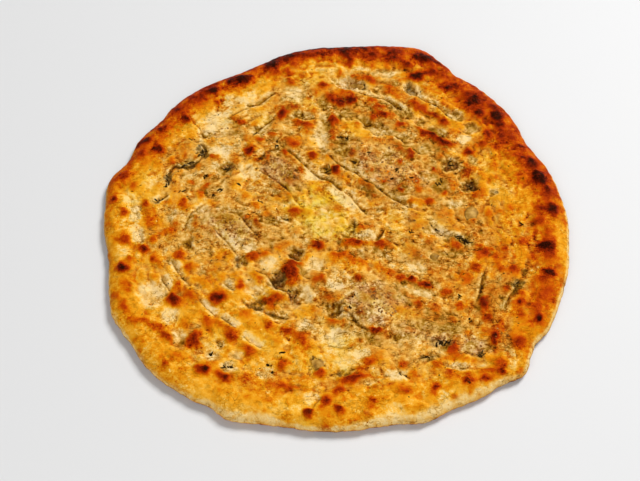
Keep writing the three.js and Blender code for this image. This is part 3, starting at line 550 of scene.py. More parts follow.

# Folds: lip, depth, darkness of the painted shade along the line, how grey and pale the hollow's floor is,
# and plan points
FOLDS = folds(
    # long folds round the middle
    (-1.1, 1.7, 0.95, 0.1, (-39, 57), (-33, 53), (-27, 47), (-21, 41), (-14, 34), (-10, 30), (-3, 27),
     (3, 21), (9, 17), (12, 13), (16, 7), (20, 2), (25, -2)),
    (-1, 1.5, 0.85, 0.12, (-12, 58), (-7, 52), (-2, 46), (2, 42), (7, 38), (13, 35), (17, 31), (21, 27),
     (26, 25), (30, 21), (35, 16), (40, 13), (46, 9), (54, 5), (62, -2)),
    (-0.9, 1.3, 0.7, 0.08, (-55, 39), (-50, 35), (-45, 31), (-40, 27), (-36, 23), (-32, 19), (-28, 13),
     (-24, 8), (-19, 2)),
    (0.7, 1.2, 0.6, 0.08, (-56, 42), (-50, 50), (-43, 55), (-38, 57)),
    # left
    (-0.8, 1.3, 0.9, 0.1, (-68, 4), (-63, -2), (-60, -7), (-56, -12), (-51, -18)),
    (-0.6, 1, 0.6, 0.1, (-85, -7), (-79, -14), (-73, -20), (-68, -27), (-62, -34)),
    (0.6, 1, 0.6, 0.14, (-103, -12), (-100, -4), (-98, 1), (-93, 7), (-87, 11)),
    (0.3, 0.9, 1, 0, (-98, -17), (-96, -22), (-93, -26)),
    # dents of the near left
    (-0.6, 0.8, 0.7, 0.06, (-103, -45), (-98, -50), (-95, -54), (-88, -62)),
    (-0.6, 1.2, 0.75, 0.36, (-109, -33), (-105, -41), (-101, -46)),
    (-0.6, 1.2, 0.75, 0.36, (-115, -45), (-112, -51), (-108, -57)),
    (-0.9, 1.3, 0.75, 0.42, (-89, -63), (-84, -69), (-77, -75)),
    (-0.9, 1.3, 0.75, 0.42, (-75, -75), (-69, -80), (-62, -85)),
    (-0.9, 1.3, 0.75, 0.42, (-61, -87), (-55, -93), (-46, -98)),
    (-0.5, 1.2, 0.85, 0.4, (-74, -50), (-70, -54), (-66, -57)),
    # pits and mounds of the near middle
    (-1, 1.4, 0.85, 0, (-57, -39), (-51, -43), (-46, -45), (-42, -49), (-39, -54), (-33, -57), (-30, -61),
     (-29, -68)),
    (-0.4, 1, 1, 0, (-32, -29), (-27, -32), (-22, -36)),
    (0.9, 1.2, 0.7, 0.12, (-47, -71), (-38, -74), (-30, -76)),
    (0.6, 1, 0.6, 0.16, (-62, -61), (-57, -66), (-50, -68), (-45, -70)),
    # far right and far
    (-0.9, 1.5, 0.8, 0.16, (46, 112), (53, 108), (58, 103), (64, 97), (70, 94), (73, 92), (80, 84),
     (88, 76)),
    (-0.8, 1.2, 0.6, 0.16, (-6, 113), (4, 109), (12, 107), (21, 103), (27, 100), (36, 99), (44, 92),
     (49, 89), (53, 82)),
    (-0.7, 1.1, 0.6, 0.14, (14, 84), (21, 77), (24, 72), (28, 67), (35, 67), (43, 65), (52, 58)),
    # tear at the left rim
    (-0.6, 1.4, 1, 0.06, (-103, 63), (-96, 60), (-91, 55), (-93, 48), (-98, 43), (-105, 41), (-112, 40),
     (-115, 34), (-116, 26)),
    (0.5, 1, 1, 0.06, (-113, 18), (-118, 14), (-122, 11)),
    (-0.5, 0.9, 0.55, 0.1, (-54, 44), (-62, 39), (-70, 34), (-77, 30), (-81, 25), (-90, 22)),
    # far left
    (-0.5, 0.8, 0.65, 0.06, (-105, 86), (-100, 77), (-96, 73), (-93, 66)),
    (-0.6, 1, 0.6, 0.14, (-79, 79), (-69, 86), (-60, 92), (-53, 96), (-48, 100), (-38, 107)),
    (-0.5, 0.9, 0.6, 0.12, (-59, 64), (-54, 70), (-50, 75), (-44, 80)),
    (-0.5, 0.8, 0.6, 0.12, (-32, 86), (-26, 83), (-21, 82), (-13, 81)),
    # near
    (0.6, 1.3, 0.75, 0.1, (-6, -74), (0, -70), (6, -71), (10, -74), (14, -80), (18, -83), (25, -86)),
    (0.5, 1, 0.6, 0.1, (0, -70), (2, -66), (7, -61), (12, -57)),
    (0.2, 0.6, 0.6, 0.06, (-7, -95), (0, -96), (6, -97), (12, -96)),
    (-0.5, 0.9, 0.6, 0.1, (48, -106), (56, -103), (61, -102), (66, -105)),
    (-0.7, 0.9, 0.5, 0.16, (61, -107), (69, -110), (75, -111), (85, -112), (102, -112)),
    (-0.4, 0.9, 1, 0.1, (38, -114), (42, -116), (46, -119)),
    # middle right and right
    (0.4, 0.9, 1, 0, (33, -10), (31, -15), (28, -20)),
    (0.4, 0.9, 0.75, 0.06, (13, -2), (13, -8), (12, -16)),
    (-0.8, 1.1, 0.65, 0, (100, -35), (96, -45), (94, -53), (92, -60), (89, -67)),
    (-0.8, 1.3, 0.7, 0.1, (122, -44), (116, -55), (111, -62), (107, -73)),
    (-0.6, 1, 0.45, 0.1, (112, -98), (113, -104), (113, -112)),
    (-0.6, 1.1, 0.65, 0.3, (58, 2), (68, -11), (74, -15), (80, -16), (88, -19)),
    # dents and slits of the rim and the mounds
    (0.6, 1, 0.35, 0.34, (-136, 9), (-134, 3), (-132, -3)),
    (0.6, 1, 0.35, 0.34, (-132, -9), (-130, -14), (-128, -20)),
    (-0.4, 0.8, 0.8, 0.04, (34, -19), (39, -22), (45, -27)),
    (-0.3, 0.7, 0.7, 0, (42, -60), (46, -62), (51, -63)),
    (-0.3, 0.7, 0.7, 0.04, (-50, 76), (-46, 78), (-42, 81)),
    (-0.5, 0.8, 0.55, 0.08, (-17, -143), (-13, -136), (-9, -130)),
    (-0.3, 0.6, 0.8, 0, (-38, 0), (-34, -3), (-29, -5)),
)

# Herb leaves: plan place, length, width and turn
HERBS = (
    (-100, 63, 4.5, 3, 20), (-92, 53, 9, 5, 70), (-94, 49, 5, 3, 40), (-106, 41, 7, 3.5, 10),
    (-100, 44, 5, 2.5, 30), (-89, 33, 5, 4, 60), (-75, 39, 9, 5.5, 15), (-116, 31, 8, 2.5, 85),
    (-116, 25, 6, 3, 60), (-105, 20, 6, 2, 10), (-120, 14, 6, 3, 35), (-79, 21, 5, 3.5, 40),
    (-83, 17, 3, 1.5, 35), (3, 66, 7, 2.5, 10), (9, 63, 6, 2, -70), (80, 46, 6, 1.8, 60),
    (83, 42, 7, 1.8, -50), (81, 39, 5, 1.6, 35), (93, 25, 6, 3.5, 10), (94, 23, 5, 2.5, -40),
    (84, -17, 9, 5, -25), (88, -19, 6, 3.5, -40), (80, -61, 7, 2.5, -65), (118, -52, 7, 2.5, 60),
    (68, -93, 9, 4.5, 15), (63, -94, 5, 3, 40), (91, -102, 8, 3, 15), (-34, -100, 4, 3, -30),
    (-42, -109, 4, 2, 0), (-40, -113, 4, 2, 10), (-70, -110, 6, 2.5, -15), (-66, -110, 4, 2, 30),
    (-79, -101, 3, 1.6, 40), (51, -12, 4, 3, 60), (125, -5, 3.5, 3, 0), (81, -121, 4, 2.5, -70),
    (42, -116, 6, 1.6, -25), (21, 103, 4, 2.5, 0), (22, 112, 4, 2, 70), (-41, 58, 4, 3, 40),
    (-51, 12, 5, 1.6, -35), (-65, 25, 4.5, 1.8, -50), (68, -9, 5, 1.6, -45), (65, -7, 4, 1.4, -50),
    (86, -77, 5, 2, 75), (9, -69, 5, 3, 40), (11, -61, 4, 2, 50), (13, 43, 5, 2.5, -50), (23, 50, 4, 2, 50),
    (-5, 39, 6, 2.5, 60), (57, -103, 7, 2, 10), (-26, -59, 4, 2, 50), (-30, -56, 3, 2, 0),
    (72, 25, 4, 2, -60), (-55, 68, 4, 2, 40), (43, 38, 5, 1.6, 80), (14, 43, 5, 3, 40), (39, 30, 2, 2, 0),
    (52, 30, 3, 1.5, 0), (73, 29, 4, 1.8, 110), (70, 25, 3, 3, 0), (-73, -11, 2.5, 2, 80),
    (-33, -2, 5, 1.5, -35), (-41, 62, 3, 2, 80),
)

# Onion pieces under the skin: plan place, length, width and turn
ONIONS = (
    (92, 2, 12, 10, 70), (-12, -107, 14, 12, 10), (65, -31, 7, 6, 30), (15, 114, 10, 7, -15),
    (19, 111, 6, 5, 20),
)

# Pits with painted shade, and herb stains, where the dough is dark and olive
PIT_SHADE_AND_STAINS = ovals(
    (-38, -48, 11, 11, 60, -35), (-51, -66, 9, 7, 36), (-27, -60, 7, 11, 30), (-1, -71, 8, 10, 42),
    (14, 112, 16, 7, 40, -12), (55, 109, 6, 11, 50, 20), (81, 43, 9, 10, 58), (93, 25, 8, 8, 50),
    (109, 20, 5, 4, 35), (-27, -28, 9, 10, 22), (-64, -35, 5, 8, 55), (84, -18, 12, 6, 50, -25),
    (118, -52, 9, 6, 50, 60), (66, -93, 14, 8, 38, 10), (91, -102, 9, 5, 40, 10), (57, -104, 12, 4, 40, 10),
    (-13, -108, 12, 10, 45), (3, -115, 9, 6, 35), (-75, 39, 10, 6, 50, 15), (63, -52, 8, 4, 35, -20),
    (-70, -110, 9, 5, 30, -15), (-42, -110, 7, 6, 30), (-115, 30, 6, 12, 50), (-93, 54, 8, 12, 55, 20),
    (-104, 42, 16, 5, 50, 12), (-120, 13, 8, 5, 40, 35), (6, 64, 9, 6, 40),
)

# How strongly the rim is browned and how far in, by the angle round the bread in degrees
RIM_BROWNING = (
    (0, 0.21, 26), (20, 0.24, 28), (40, 0.22, 30), (65, 0.23, 24), (90, 0.42, 18), (120, 0.31, 22),
    (140, 0.30, 20), (160, 0.28, 18), (180, 0.14, 14), (210, 0.06, 14), (240, 0.04, 14), (270, 0.08, 22),
    (300, 0.05, 18), (320, 0.08, 20), (340, 0.17, 26),
)

# How wide the pale edge is in millimetres, by the angle round the bread in degrees
RIM_PALE = (
    (0, 1.5), (20, 1), (180, 1), (200, 1), (232, 1), (240, 3), (246, 6), (252, 6), (258, 2), (266, 1.5),
    (273, 3), (280, 5), (295, 6), (306, 5), (316, 3), (328, 2), (345, 2), (355, 2),
)

# Nicks in the edge: angle round the bread and half width in degrees, and depth in millimetres
NICKS = ((54, 3, 2.0), (147, 4, 2.0), (240, 3, 2.5), (296, 4, 2.0), (311, 4, 4.0), (324, 3, 2.0))


class Outline:
    """The bread's edge seen from above, read from the solid that the bread stands for."""

    BINS = 180

    def __init__(self, node: Piece) -> None:
        """Finds the outermost point of the solid in each direction.

        Args:
            node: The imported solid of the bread.
        """
        place = np.zeros(len(node.data.vertices) * 3)
        node.data.vertices.foreach_get("co", place)
        x, y = place.reshape(-1, 3)[:, :2].T / MM
        angle = np.arctan2(y, x) % WHOLE_TURN
        radius = np.hypot(x, y)
        sector = (angle / WHOLE_TURN * self.BINS).astype(int) % self.BINS
        outer = [np.flatnonzero(sector == k)[np.argmax(radius[sector == k])] for k in range(self.BINS)]
        self.angles = angle[outer]
        self.radii = radius[outer]

    def radius(self, angle: Field) -> Field:
        """Distance from the middle to the edge in each direction, less the nicks.

        Args:
            angle: Directions in radians.

        Returns:
            Millimetres.
        """
        radius = np.interp(angle, self.angles, self.radii, period=WHOLE_TURN)
        half_turn = TURN_DEGREES / 2
        for centre, half, depth in NICKS:
            off = (np.degrees(angle) - centre + half_turn) % TURN_DEGREES - half_turn
            radius = radius - depth * bell(off / half)
        return radius

    def inset(self, x: Field, y: Field) -> Field:
        """Distance of places from the edge, inwards, in millimetres."""
        return self.radius(np.arctan2(y, x) % WHOLE_TURN) - np.hypot(x, y)


class Plan:
    """A square grid over the plan, on which the bread's fields are worked out and read."""

    STEP = 0.5
    HALF = 164

    def __init__(self) -> None:
        """Lays out the grid."""
        side = np.arange(-self.HALF, self.HALF + self.STEP / 2, self.STEP)
        self.x, self.y = np.meshgrid(side, side)

    def window(self, corners: tuple[Field, Field]) -> tuple[slice, slice]:
        """The rows and columns of the grid between two corners."""
        low, high = (np.clip((at + self.HALF) / self.STEP, 0, len(self.x)).astype(int) for at in corners)
        return slice(low[1], high[1] + 1), slice(low[0], high[0] + 1)

    def blur(self, field: Field, width: float) -> Field:
        """Blurs a field with a bell, whose standard deviation is the width in millimetres."""
        rate = (math.pi * width * np.fft.fftfreq(len(self.x), self.STEP)) ** 2
        return np.real(np.fft.ifft2(np.fft.fft2(field) * np.exp(-2 * np.add.outer(rate, rate))))

    def read(self, field: Field, x: Field, y: Field) -> Field:
        """Reads a field between the points of its grid.

        Args:
            field: Values on the grid.
            x: Millimetres to the right.
            y: Millimetres away.

        Returns:
            The value at each place.
        """
        u, v = (x + self.HALF) / self.STEP, (y + self.HALF) / self.STEP
        i, j = np.floor(u).astype(int), np.floor(v).astype(int)
        u, v = u - i, v - j
        near = field[j, i] * (1 - u) + field[j, i + 1] * u
        far = field[j + 1, i] * (1 - u) + field[j + 1, i + 1] * u
        return near * (1 - v) + far * v


@dataclass
class Stretch:
    """How the dough was drawn out: round the bread near its rim and slanting across its middle."""

    seed: int = 5
    cell: float = 3.4
    reach: float = 5.5
    samples: int = 7
    slant: float = math.radians(-38)
    rim_band: Pair = (35, 80)
    gain: float = 1.7

    def turn(self, x: Field, y: Field, inset: Field) -> Field:
        """The way the dough runs at places on the plan.

        Args:
            x: Millimetres to the right.
            y: Millimetres away.
            inset: Distance of each place from the edge, inwards.

        Returns:
            Angles in radians.
        """
        along_rim = np.arctan2(y, x) + math.pi / 2
        share = smooth(*self.rim_band, inset)
        both = (1 - share) * np.exp(2j * along_rim) + share * np.exp(2j * self.slant)
        return np.angle(both) / 2

    def streaks(self, x: Field, y: Field, inset: Field) -> Field:
        """Stretch marks along the way the dough runs.

        Args:
            x: Millimetres to the right.
            y: Millimetres away.
            inset: Distance of each place from the edge, inwards.

        Returns:
            Values of about -1 to 1.
        """
        turn = self.turn(x, y, inset)
        grain = Grain(self.seed, self.cell)
        total = np.zeros_like(x)
        for k in np.linspace(-self.reach, self.reach, self.samples):
            total += grain.at(x + k * np.cos(turn), y + k * np.sin(turn))
        return self.gain * total / self.samples


class Bubbles:
    """Widths and heights of the dough's bubbles in millimetres, and how they are drawn."""

    sizes = ((16, 2.1), (9, 2), (5.5, 1.2))
    spacing = 0.85
    shake = 0.45
    least_inset = 3
    turn = 25
    width = (0.6, 1.2)
    length = (1, 1.7)
    flatness = 1.3


class Relief:
    """How much each kind of mark and grain lifts or sinks the top, in millimetres.

    A grain's pair is its size and its height.
    """

    swells = 1.2
    spots = 2
    rolls = (15, 0.7)
    khaki = 1.3
    pale = 2.5
    bubble_level = 0.8
    bubble_calm = 0.4
    streaks = 0.42
    fine = (2.6, 0.12)
    mince = (3.2, 0.55)
    folds = 1.1
    begins = (2, 10)
    rim = 1.5
    rim_crest = 12
    rim_spread = 9


class Baking:
    """How far each kind of place is baked, from 0 for raw dough to 1 for char.

    A pair says where something begins and ends. Insets are distances from the edge, inwards, in millimetres.
    """

    base = 0.205
    tint = 0.05
    band = (0.35, 1.15)
    band_waver = 0.35
    band_level = 0.9
    band_ragged = 0.2
    band_lumps = 0.5
    band_range = (0.2, 1.6)
    lip = 0.1
    lip_char = 1.6
    lip_char_from = 0.25
    lip_inset = (1, 5)
    proud = 0.18
    # Raised places bake browner; sunk places turn a little darker, as painted shade
    sunk_shade = 0.04
    blisters = 0.18
    blister_height = (1, 2.2)
    blister_level = 0.7
    blister_tint = 0.6
    # Painted shade darkens the small hollows, and a painted highlight lightens the small ridges
    hollow_shade = 0.14
    hollow_shade_rim = 0.3
    hollow_shade_inset = (8, 26)
    ridge_highlight = 0.08
    # Darker in the khaki furrows, partly as painted shade
    khaki = 0.1
    gold = 0.7
    gold_level = 0.2
    thin = 0.03
    edge = 0.9
    edge_level = 0.06
    middle = 0.25
    contrast = 1.4
    far_contrast = 0.1
    butter = 0.1


class Thinness:
    """How thin each kind of place is, from 0 for thick dough to 1 where the filling shows through."""

    level = 0.62
    inset = (8, 44)
    tint_level = 0.85
    tint = 0.6
    start = 0.22
    spots = 0.9
    marks = 0.6
    khaki = 0.7
    gold = 0.7
    proud = 0.2
    # Painted shade: the small hollows turn greyer
    hollow_shade = 0.24
    hollow_shade_inset = (10, 40)
    edge_level = 0.3
    floors = 1.2
    # Greyer in the pits' painted shade and the herb stains
    pit_shade_and_stains = 0.6
    least = -0.3


class Wall:
    """How far the pale edge, the side wall and the underside are baked, and where each begins and ends."""

    edge = (0.6, 1.2)
    edge_waver = 0.3
    base = 0.12
    rim = 1.1
    rim_from = 0.1
    brown = 0.15
    brown_width = (2, 6)
    lumps = 0.14
    ragged = 0.1
    foot = 0.35
    foot_lift = (0, 0.22)
    under = 0.42
    under_patches = 0.16
    start_lift = (0, 0.2)
    start_inset = 5.5
    top_lift = (0.35, 0.95)
    top_grain = 0.25
    top_ragged = 0.15
    top_brown = 0.25
    thin = 0.24
    bare = 0.6
    bare_brown = 0.4


@dataclass
class Bread:
    """The bread: a dense closed mesh whose top carries the relief and the layers of its material."""

    core_height: float = 8.6
    bulge_height: float = 3.6
    bulge_waver: float = 0.22
    edge_round: float = 8
    under_tuck: float = 6
    edge_waver: float = 0.5
    step: float = 0.95
    edge_rows: int = 8
    tuck_rows: int = 4
    under_step: float = 4.5
    ragged_cell: float = 4
    lump_cell: float = 7
    tint_cell: float = 24
    edge_cell: float = 9
    ripple_cell: float = 6
    mark_shifts: tuple[Pair, ...] = ((6, 1.7), (2.4, 0.8))
    mark_waver: float = 0.25
    soft_edge: float = 0.4
    sharp_edge: float = 0.5
    fade_reach: float = 2
    fade_sharpness: float = 1.25
    spot_waver: float = 0.3
    spot_core: Pair = (0.3, 1)
    spot_halo: Pair = (0.6, 1.6)
    spot_gain: float = 1.3
    spot_most: float = 0.95
    pale_most: float = 0.3
    proud_blur: float = 5
    proud_height: float = 1
    fine_blur: float = 1.5
    fine_height: float = 0.32
    most_proud: float = 1.5
    line_gain: float = 0.8
    seed: int = 27

    def __post_init__(self) -> None:
        """Reads the outline, draws the random fields and works out the top."""
        self.outline = Outline(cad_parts["naan"])
        self.plan = Plan()
        self.inset = self.outline.inset(self.plan.x, self.plan.y)
        self.stretch = Stretch()
        self.ragged = self._grain(1, self.ragged_cell)
        self.lumps = self._grain(2, self.lump_cell)
        self.tint = self._grain(3, self.tint_cell)
        self.edge_grain = Grain(self.seed + 4, self.edge_cell)
        self.edge_ripple = Grain(self.seed + 8, self.ripple_cell)
        self.marks_x = self._shaken(self.plan.x, 11)
        self.marks_y = self._shaken(self.plan.y, 13)
        self.blisters = self._blisters()
        self.spots = self._spots(BROWNED)
        self.thin_marks = np.clip(self._sum(THIN), 0, 1)
        self.khaki = np.clip(self._sum(KHAKI, self.sharp_edge), 0, 1)
        self.pale = np.minimum(self._sum(PALE, self.sharp_edge), self.pale_most)
        self.gold = np.clip(self._sum(GOLD), 0, 1)
        self.folds = []
        for fold in FOLDS:
            at = self.plan.window(fold.corners())
            self.folds.append((fold, at, *fold.measure(self.plan.x[at], self.plan.y[at])))
        self.top = self._top_height()
        self.proud = self._stand_out(self.proud_blur, self.proud_height)
        self.fine = self._stand_out(self.fine_blur, self.fine_height)
        angle = np.degrees(np.arctan2(self.plan.y, self.plan.x)) % TURN_DEGREES
        self.rim, self.rim_width = around(RIM_BROWNING, angle)
        self.pale_width, = around(RIM_PALE, angle)
        ragged_inset = self.inset / self.pale_width + Wall.edge_waver * self.lumps
        self.edge = 1 - smooth(*Wall.edge, ragged_inset)
        self.layers = self._layers()

    def _grain(self, number: int, cell: float, amount: float = 1) -> Field:
        """A random field over the plan grid, times an amount."""
        return amount * Grain(self.seed + number, cell).at(self.plan.x, self.plan.y)

    def _shaken(self, places: Field, number: int) -> Field:
        """Shifts one plan coordinate a little, so that the borders of marks are uneven."""
        shifts = enumerate(self.mark_shifts, number)
        return places + sum(self._grain(offset, *shift) for offset, shift in shifts)

    def _blisters(self) -> Field:
        """Draws the dough's bubbles on shaken grids, each stretched the way the dough runs.

        Returns:
            Height of the highest bubble at each place of the plan, in millimetres.
        """
        draw = np.random.default_rng(self.seed + 10)
        rule = Bubbles
        drawn = []
        for size, height in rule.sizes:
            side = np.arange(-Plan.HALF, Plan.HALF, rule.spacing * size)
            x, y = (values.ravel() for values in np.meshgrid(side, side))
            x = x + draw.uniform(-rule.shake, rule.shake, len(x)) * size
            y = y + draw.uniform(-rule.shake, rule.shake, len(y)) * size
            inset = self.outline.inset(x, y)
            x, y, inset = (values[inset > rule.least_inset] for values in (x, y, inset))
            turn = np.degrees(self.stretch.turn(x, y, inset)) + draw.uniform(-rule.turn, rule.turn, len(x))
            wide = size * draw.uniform(*rule.width, len(x))
            tall = height * draw.uniform(0, 1, len(x)) ** rule.flatness
            long = wide * draw.uniform(*rule.length, len(x))
            drawn += [Oval(*row) for row in zip(x, y, long, wide, tall, turn)]
        total = np.zeros_like(self.plan.x)
        for dome, at, reach in self._reaches(drawn, self.plan.x, self.plan.y, self.mark_waver):
            total[at] = np.maximum(total[at], dome.amount * np.sqrt(np.clip(1 - reach**2, 0, 1)))
        return total

    def _reaches(self, marks: tuple[Oval, ...] | list[Oval], x: Field, y: Field, waver: float
                 ) -> Iterator[tuple[Oval, tuple[slice, slice], Field]]:
        """Goes through marks with ragged borders.

        Args:
            marks: The marks.
            x: Millimetres to the right on the plan grid.
            y: Millimetres away.
            waver: How ragged the borders are.

        Returns:
            Each mark, its stretch of the plan grid and how far the places there lie out in it.
        """
        for mark in marks:
            at = self.plan.window(mark.corners())
            yield mark, at, mark.reach(x[at], y[at]) * (1 + waver * self.ragged[at])

    def _sum(self, marks: tuple[Oval, ...], edge: float | None = None) -> Field:
        """Adds up what a set of ovals marks, even inside and ragged at the border.

        Args:
            marks: The marks.
            edge: Where the marks begin to fade, as a share of their size: the higher, the sharper.

        Returns:
            The sum of the marks at each place of the plan.
        """
        edge = edge or self.soft_edge
        fade_end = self.fade_reach - edge * self.fade_sharpness
        total = np.zeros_like(self.plan.x)
        for mark, at, reach in self._reaches(marks, self.marks_x, self.marks_y, self.mark_waver):
            total[at] += mark.amount * (1 - smooth(edge, fade_end, reach))
        return total

    def _spots(self, spots: tuple[Oval, ...]) -> Field:
        """Joins browned spots, each a small dark core in a wide soft halo, without ever passing 1.

        Args:
            spots: The spots.

        Returns:
            How browned each place of the plan is, from 0 to 1.
        """
        left = np.ones_like(self.plan.x)
        for spot, at, reach in self._reaches(spots, self.marks_x, self.marks_y, self.spot_waver):
            shape = 1 - (smooth(*self.spot_core, reach) + smooth(*self.spot_halo, reach)) / 2
            left[at] *= 1 - min(self.spot_gain * spot.amount, self.spot_most) * shape
        return 1 - left

    def _top_height(self) -> Field:
        """Height of the top over the table.

        Returns:
            Millimetres on the plan grid.
        """
        lifts = Relief
        z = lifts.swells * self._sum(SWELLS) + lifts.spots * self.spots
        z += self._grain(5, *lifts.rolls)
        z -= lifts.khaki * self.khaki
        z -= lifts.pale * self.pale
        z += (self.blisters - lifts.bubble_level) * (1 - lifts.bubble_calm * self.thin_marks)
        z += lifts.streaks * self.stretch.streaks(self.plan.x, self.plan.y, self.inset)
        z += self._grain(6, *lifts.fine)
        z += self.thin_marks * self._grain(7, *lifts.mince)
        for fold, at, signed, fade in self.folds:
            z[at] += lifts.folds * fold.rise(signed) * fade
        rim = lifts.rim * bell((self.inset - lifts.rim_crest) / lifts.rim_spread)
        return self.core_height + rim + z * smooth(*lifts.begins, self.inset)

    def _stand_out(self, width: float, height: float) -> Field:
        """How far the top stands out of the same top when blurred, in shares of a height."""
        above = (self.top - self.plan.blur(self.top, width)) / height
        return np.clip(above, -self.most_proud, self.most_proud)

    def _bake(self) -> Field:
        """Works out how far the top is baked, apart from its spots and the floors of its folds.

        Returns:
            Values on the plan grid, from about 0 for raw dough to 1 for char.
        """
        rule = Baking
        bake = rule.base + self._sum(ZONES) + rule.tint * self.tint
        band = 1 - smooth(*rule.band, self.inset / self.rim_width + rule.band_waver * self.lumps)
        patchy = rule.band_level + rule.band_ragged * self.ragged + rule.band_lumps * self.lumps
        bake += self.rim * band * np.clip(patchy, *rule.band_range)
        lip = rule.lip * self.rim + rule.lip_char * np.maximum(self.rim - rule.lip_char_from, 0)
        bake += lip * (1 - smooth(*rule.lip_inset, self.inset))
        uneven = rule.blister_level + rule.blister_tint * self.tint
        blisters = rule.blisters * smooth(*rule.blister_height, self.blisters) * uneven
        # Browner on raised places, and a little darker on sunk places as painted shade
        bake += np.where(self.proud > 0, rule.proud, -rule.sunk_shade) * self.proud + blisters - self.pale
        # Painted shade in the small hollows and a painted highlight on the small ridges
        inner = rule.hollow_shade_rim + (1 - rule.hollow_shade_rim) * smooth(*rule.hollow_shade_inset, self.inset)
        shaded_hollows = rule.hollow_shade * np.maximum(-self.fine, 0) * inner
        bake += shaded_hollows - rule.ridge_highlight * np.maximum(self.fine, 0) + rule.khaki * self.khaki
        bake += rule.gold * self.gold * (rule.gold_level - bake) - rule.thin * self.thin_marks
        return bake + rule.edge * self.edge * (rule.edge_level - bake)

    def _thin(self) -> Field:
        """Works out how thin the dough of the top is, apart from the floors of its folds.

        Returns:
            Values on the plan grid, from about 0 for thick dough to 1 where the filling shows through.
        """
        rule = Thinness
        patchy = np.clip(rule.tint_level + rule.tint * self.tint, 0, 1)
        thin = rule.level * smooth(*rule.inset, self.inset) * patchy - rule.start - rule.spots * self.spots
        thin += rule.marks * self.thin_marks + self.pale + rule.khaki * self.khaki
        thin -= rule.gold * self.gold + rule.proud * self.proud
        # Painted shade: greyer in the small hollows
        shaded_hollows = rule.hollow_shade * np.maximum(-self.fine, 0) * smooth(*rule.hollow_shade_inset, self.inset)
        thin += shaded_hollows - self._sum(THICK)
        return thin + self.edge * (rule.edge_level - thin)

    def _layers(self) -> dict[Layer, Field]:
        """Works out the layers of the top that the crust's material reads.

        Returns:
            Values on the plan grid, by layer.
        """
        bake, thin = self._bake(), self._thin()
        fold_at = np.full_like(bake, Fold.ROOM)
        line = np.zeros_like(bake)
        for fold, at, signed, fade in self.folds:
            floor = fold.grey(signed) * fade
            bake[at] -= floor
            thin[at] += Thinness.floors * floor
            closer = np.abs(signed) < np.abs(fold_at[at])
            fold_at[at] = np.where(closer, signed, fold_at[at])
            line[at] = np.where(closer, self.line_gain * fold.fold_line_shade * fade, line[at])
        # Painted shade of the pits, with the herb stains
        pit_shade_and_stain = np.clip(self._sum(PIT_SHADE_AND_STAINS), 0, 1)
        butter = np.clip(self._sum(BUTTER), 0, 1)
        contrast = Baking.contrast + Baking.far_contrast * self.plan.y / Plan.HALF
        bake = np.clip(Baking.middle + contrast * (bake - Baking.middle), 0, 1)
        bake = bake + (1 - bake) * self.spots
        return {
            Layer.BAKE: np.clip(bake - Baking.butter * butter, 0, 1),
            Layer.THIN: np.clip(thin + Thinness.pit_shade_and_stains * pit_shade_and_stain, Thinness.least, 1),
            Layer.BUTTER: butter,
            Layer.PIT_SHADE_AND_STAIN: pit_shade_and_stain,
            Layer.FOLD: fold_at,
            Layer.LINE: line,
            Layer.WALL: Wall.bare * self.edge,
            Layer.MINCE: self.thin_marks,
        }

    def surface(self, x: Field, y: Field) -> Field:
        """Height of the top at plan places, in millimetres."""
        return self.plan.read(self.top, x, y)

    def _rings(self) -> list[tuple[int, float, float, float, float]]:
        """Closed rings of the mesh, from the middle of the underside round to the middle of the top.

        Returns:
            For each ring its count of points, its share of the radius, its inset in millimetres, and how
            far it has climbed to the bulge and from the bulge to the top.
        """
        mean = float(self.outline.radii.mean())
        edge_count = round(WHOLE_TURN * mean / self.step)
        under_rings = round(mean / self.under_step)
        under_count = round(WHOLE_TURN * mean / self.under_step)
        top_rings = round((mean - self.edge_round) / self.step)
        rings = []
        for k in range(under_rings):
            share = k / under_rings
            rings.append((max(1, round(share * under_count)), share, self.under_tuck, 0, 0))
        for angle in np.linspace(0, math.pi / 2, self.tuck_rows + 1):
            rings.append((edge_count, 1, self.under_tuck * (1 - math.sin(angle)), 1 - math.cos(angle), 0))
        for angle in np.linspace(0, math.pi / 2, self.edge_rows + 1)[1:]:
            rings.append((edge_count, 1, self.edge_round * (1 - math.cos(angle)), 1, math.sin(angle)))
        for k in range(1, top_rings + 1):
            share = 1 - k / top_rings
            rings.append((max(1, round(share * edge_count)), share, self.edge_round, 1, 1))
        return rings

    @staticmethod
    def _stitch(first: range, second: range) -> list[tuple[int, int, int]]:
        """Joins two rings of points of any counts by triangles.

        Args:
            first: Numbers of the lower ring's points.
            second: Numbers of the upper ring's points.

        Returns:
            The triangles, as three point numbers each.
        """
        faces = []
        i = k = 0
        last_i, last_k = (len(ring) if len(ring) > 1 else 0 for ring in (first, second))
        while i < last_i or k < last_k:
            here, there = first[i % len(first)], second[k % len(second)]
            if k == last_k or (i < last_i and (i + 1) * len(second) <= (k + 1) * len(first)):
                i += 1
                faces.append((here, first[i % len(first)], there))
            else:
                k += 1
                faces.append((here, second[k % len(second)], there))
        return faces

    def _paint(self, mesh: bpy.types.Mesh, x: Field, y: Field, inset: Field, lift: Field) -> None:
        """Puts the layers on the mesh, with the pale side wall and the underside.

        Args:
            mesh: The bread's mesh.
            x: Millimetres to the right of each point.
            y: Millimetres away.
            inset: Distance of each point from the edge, inwards.
            lift: How far each point has climbed from the edge's bulge to the top.
        """
        def read(field: Field) -> Field:
            """A plan field at the mesh's points."""
            return self.plan.read(field, x, y)

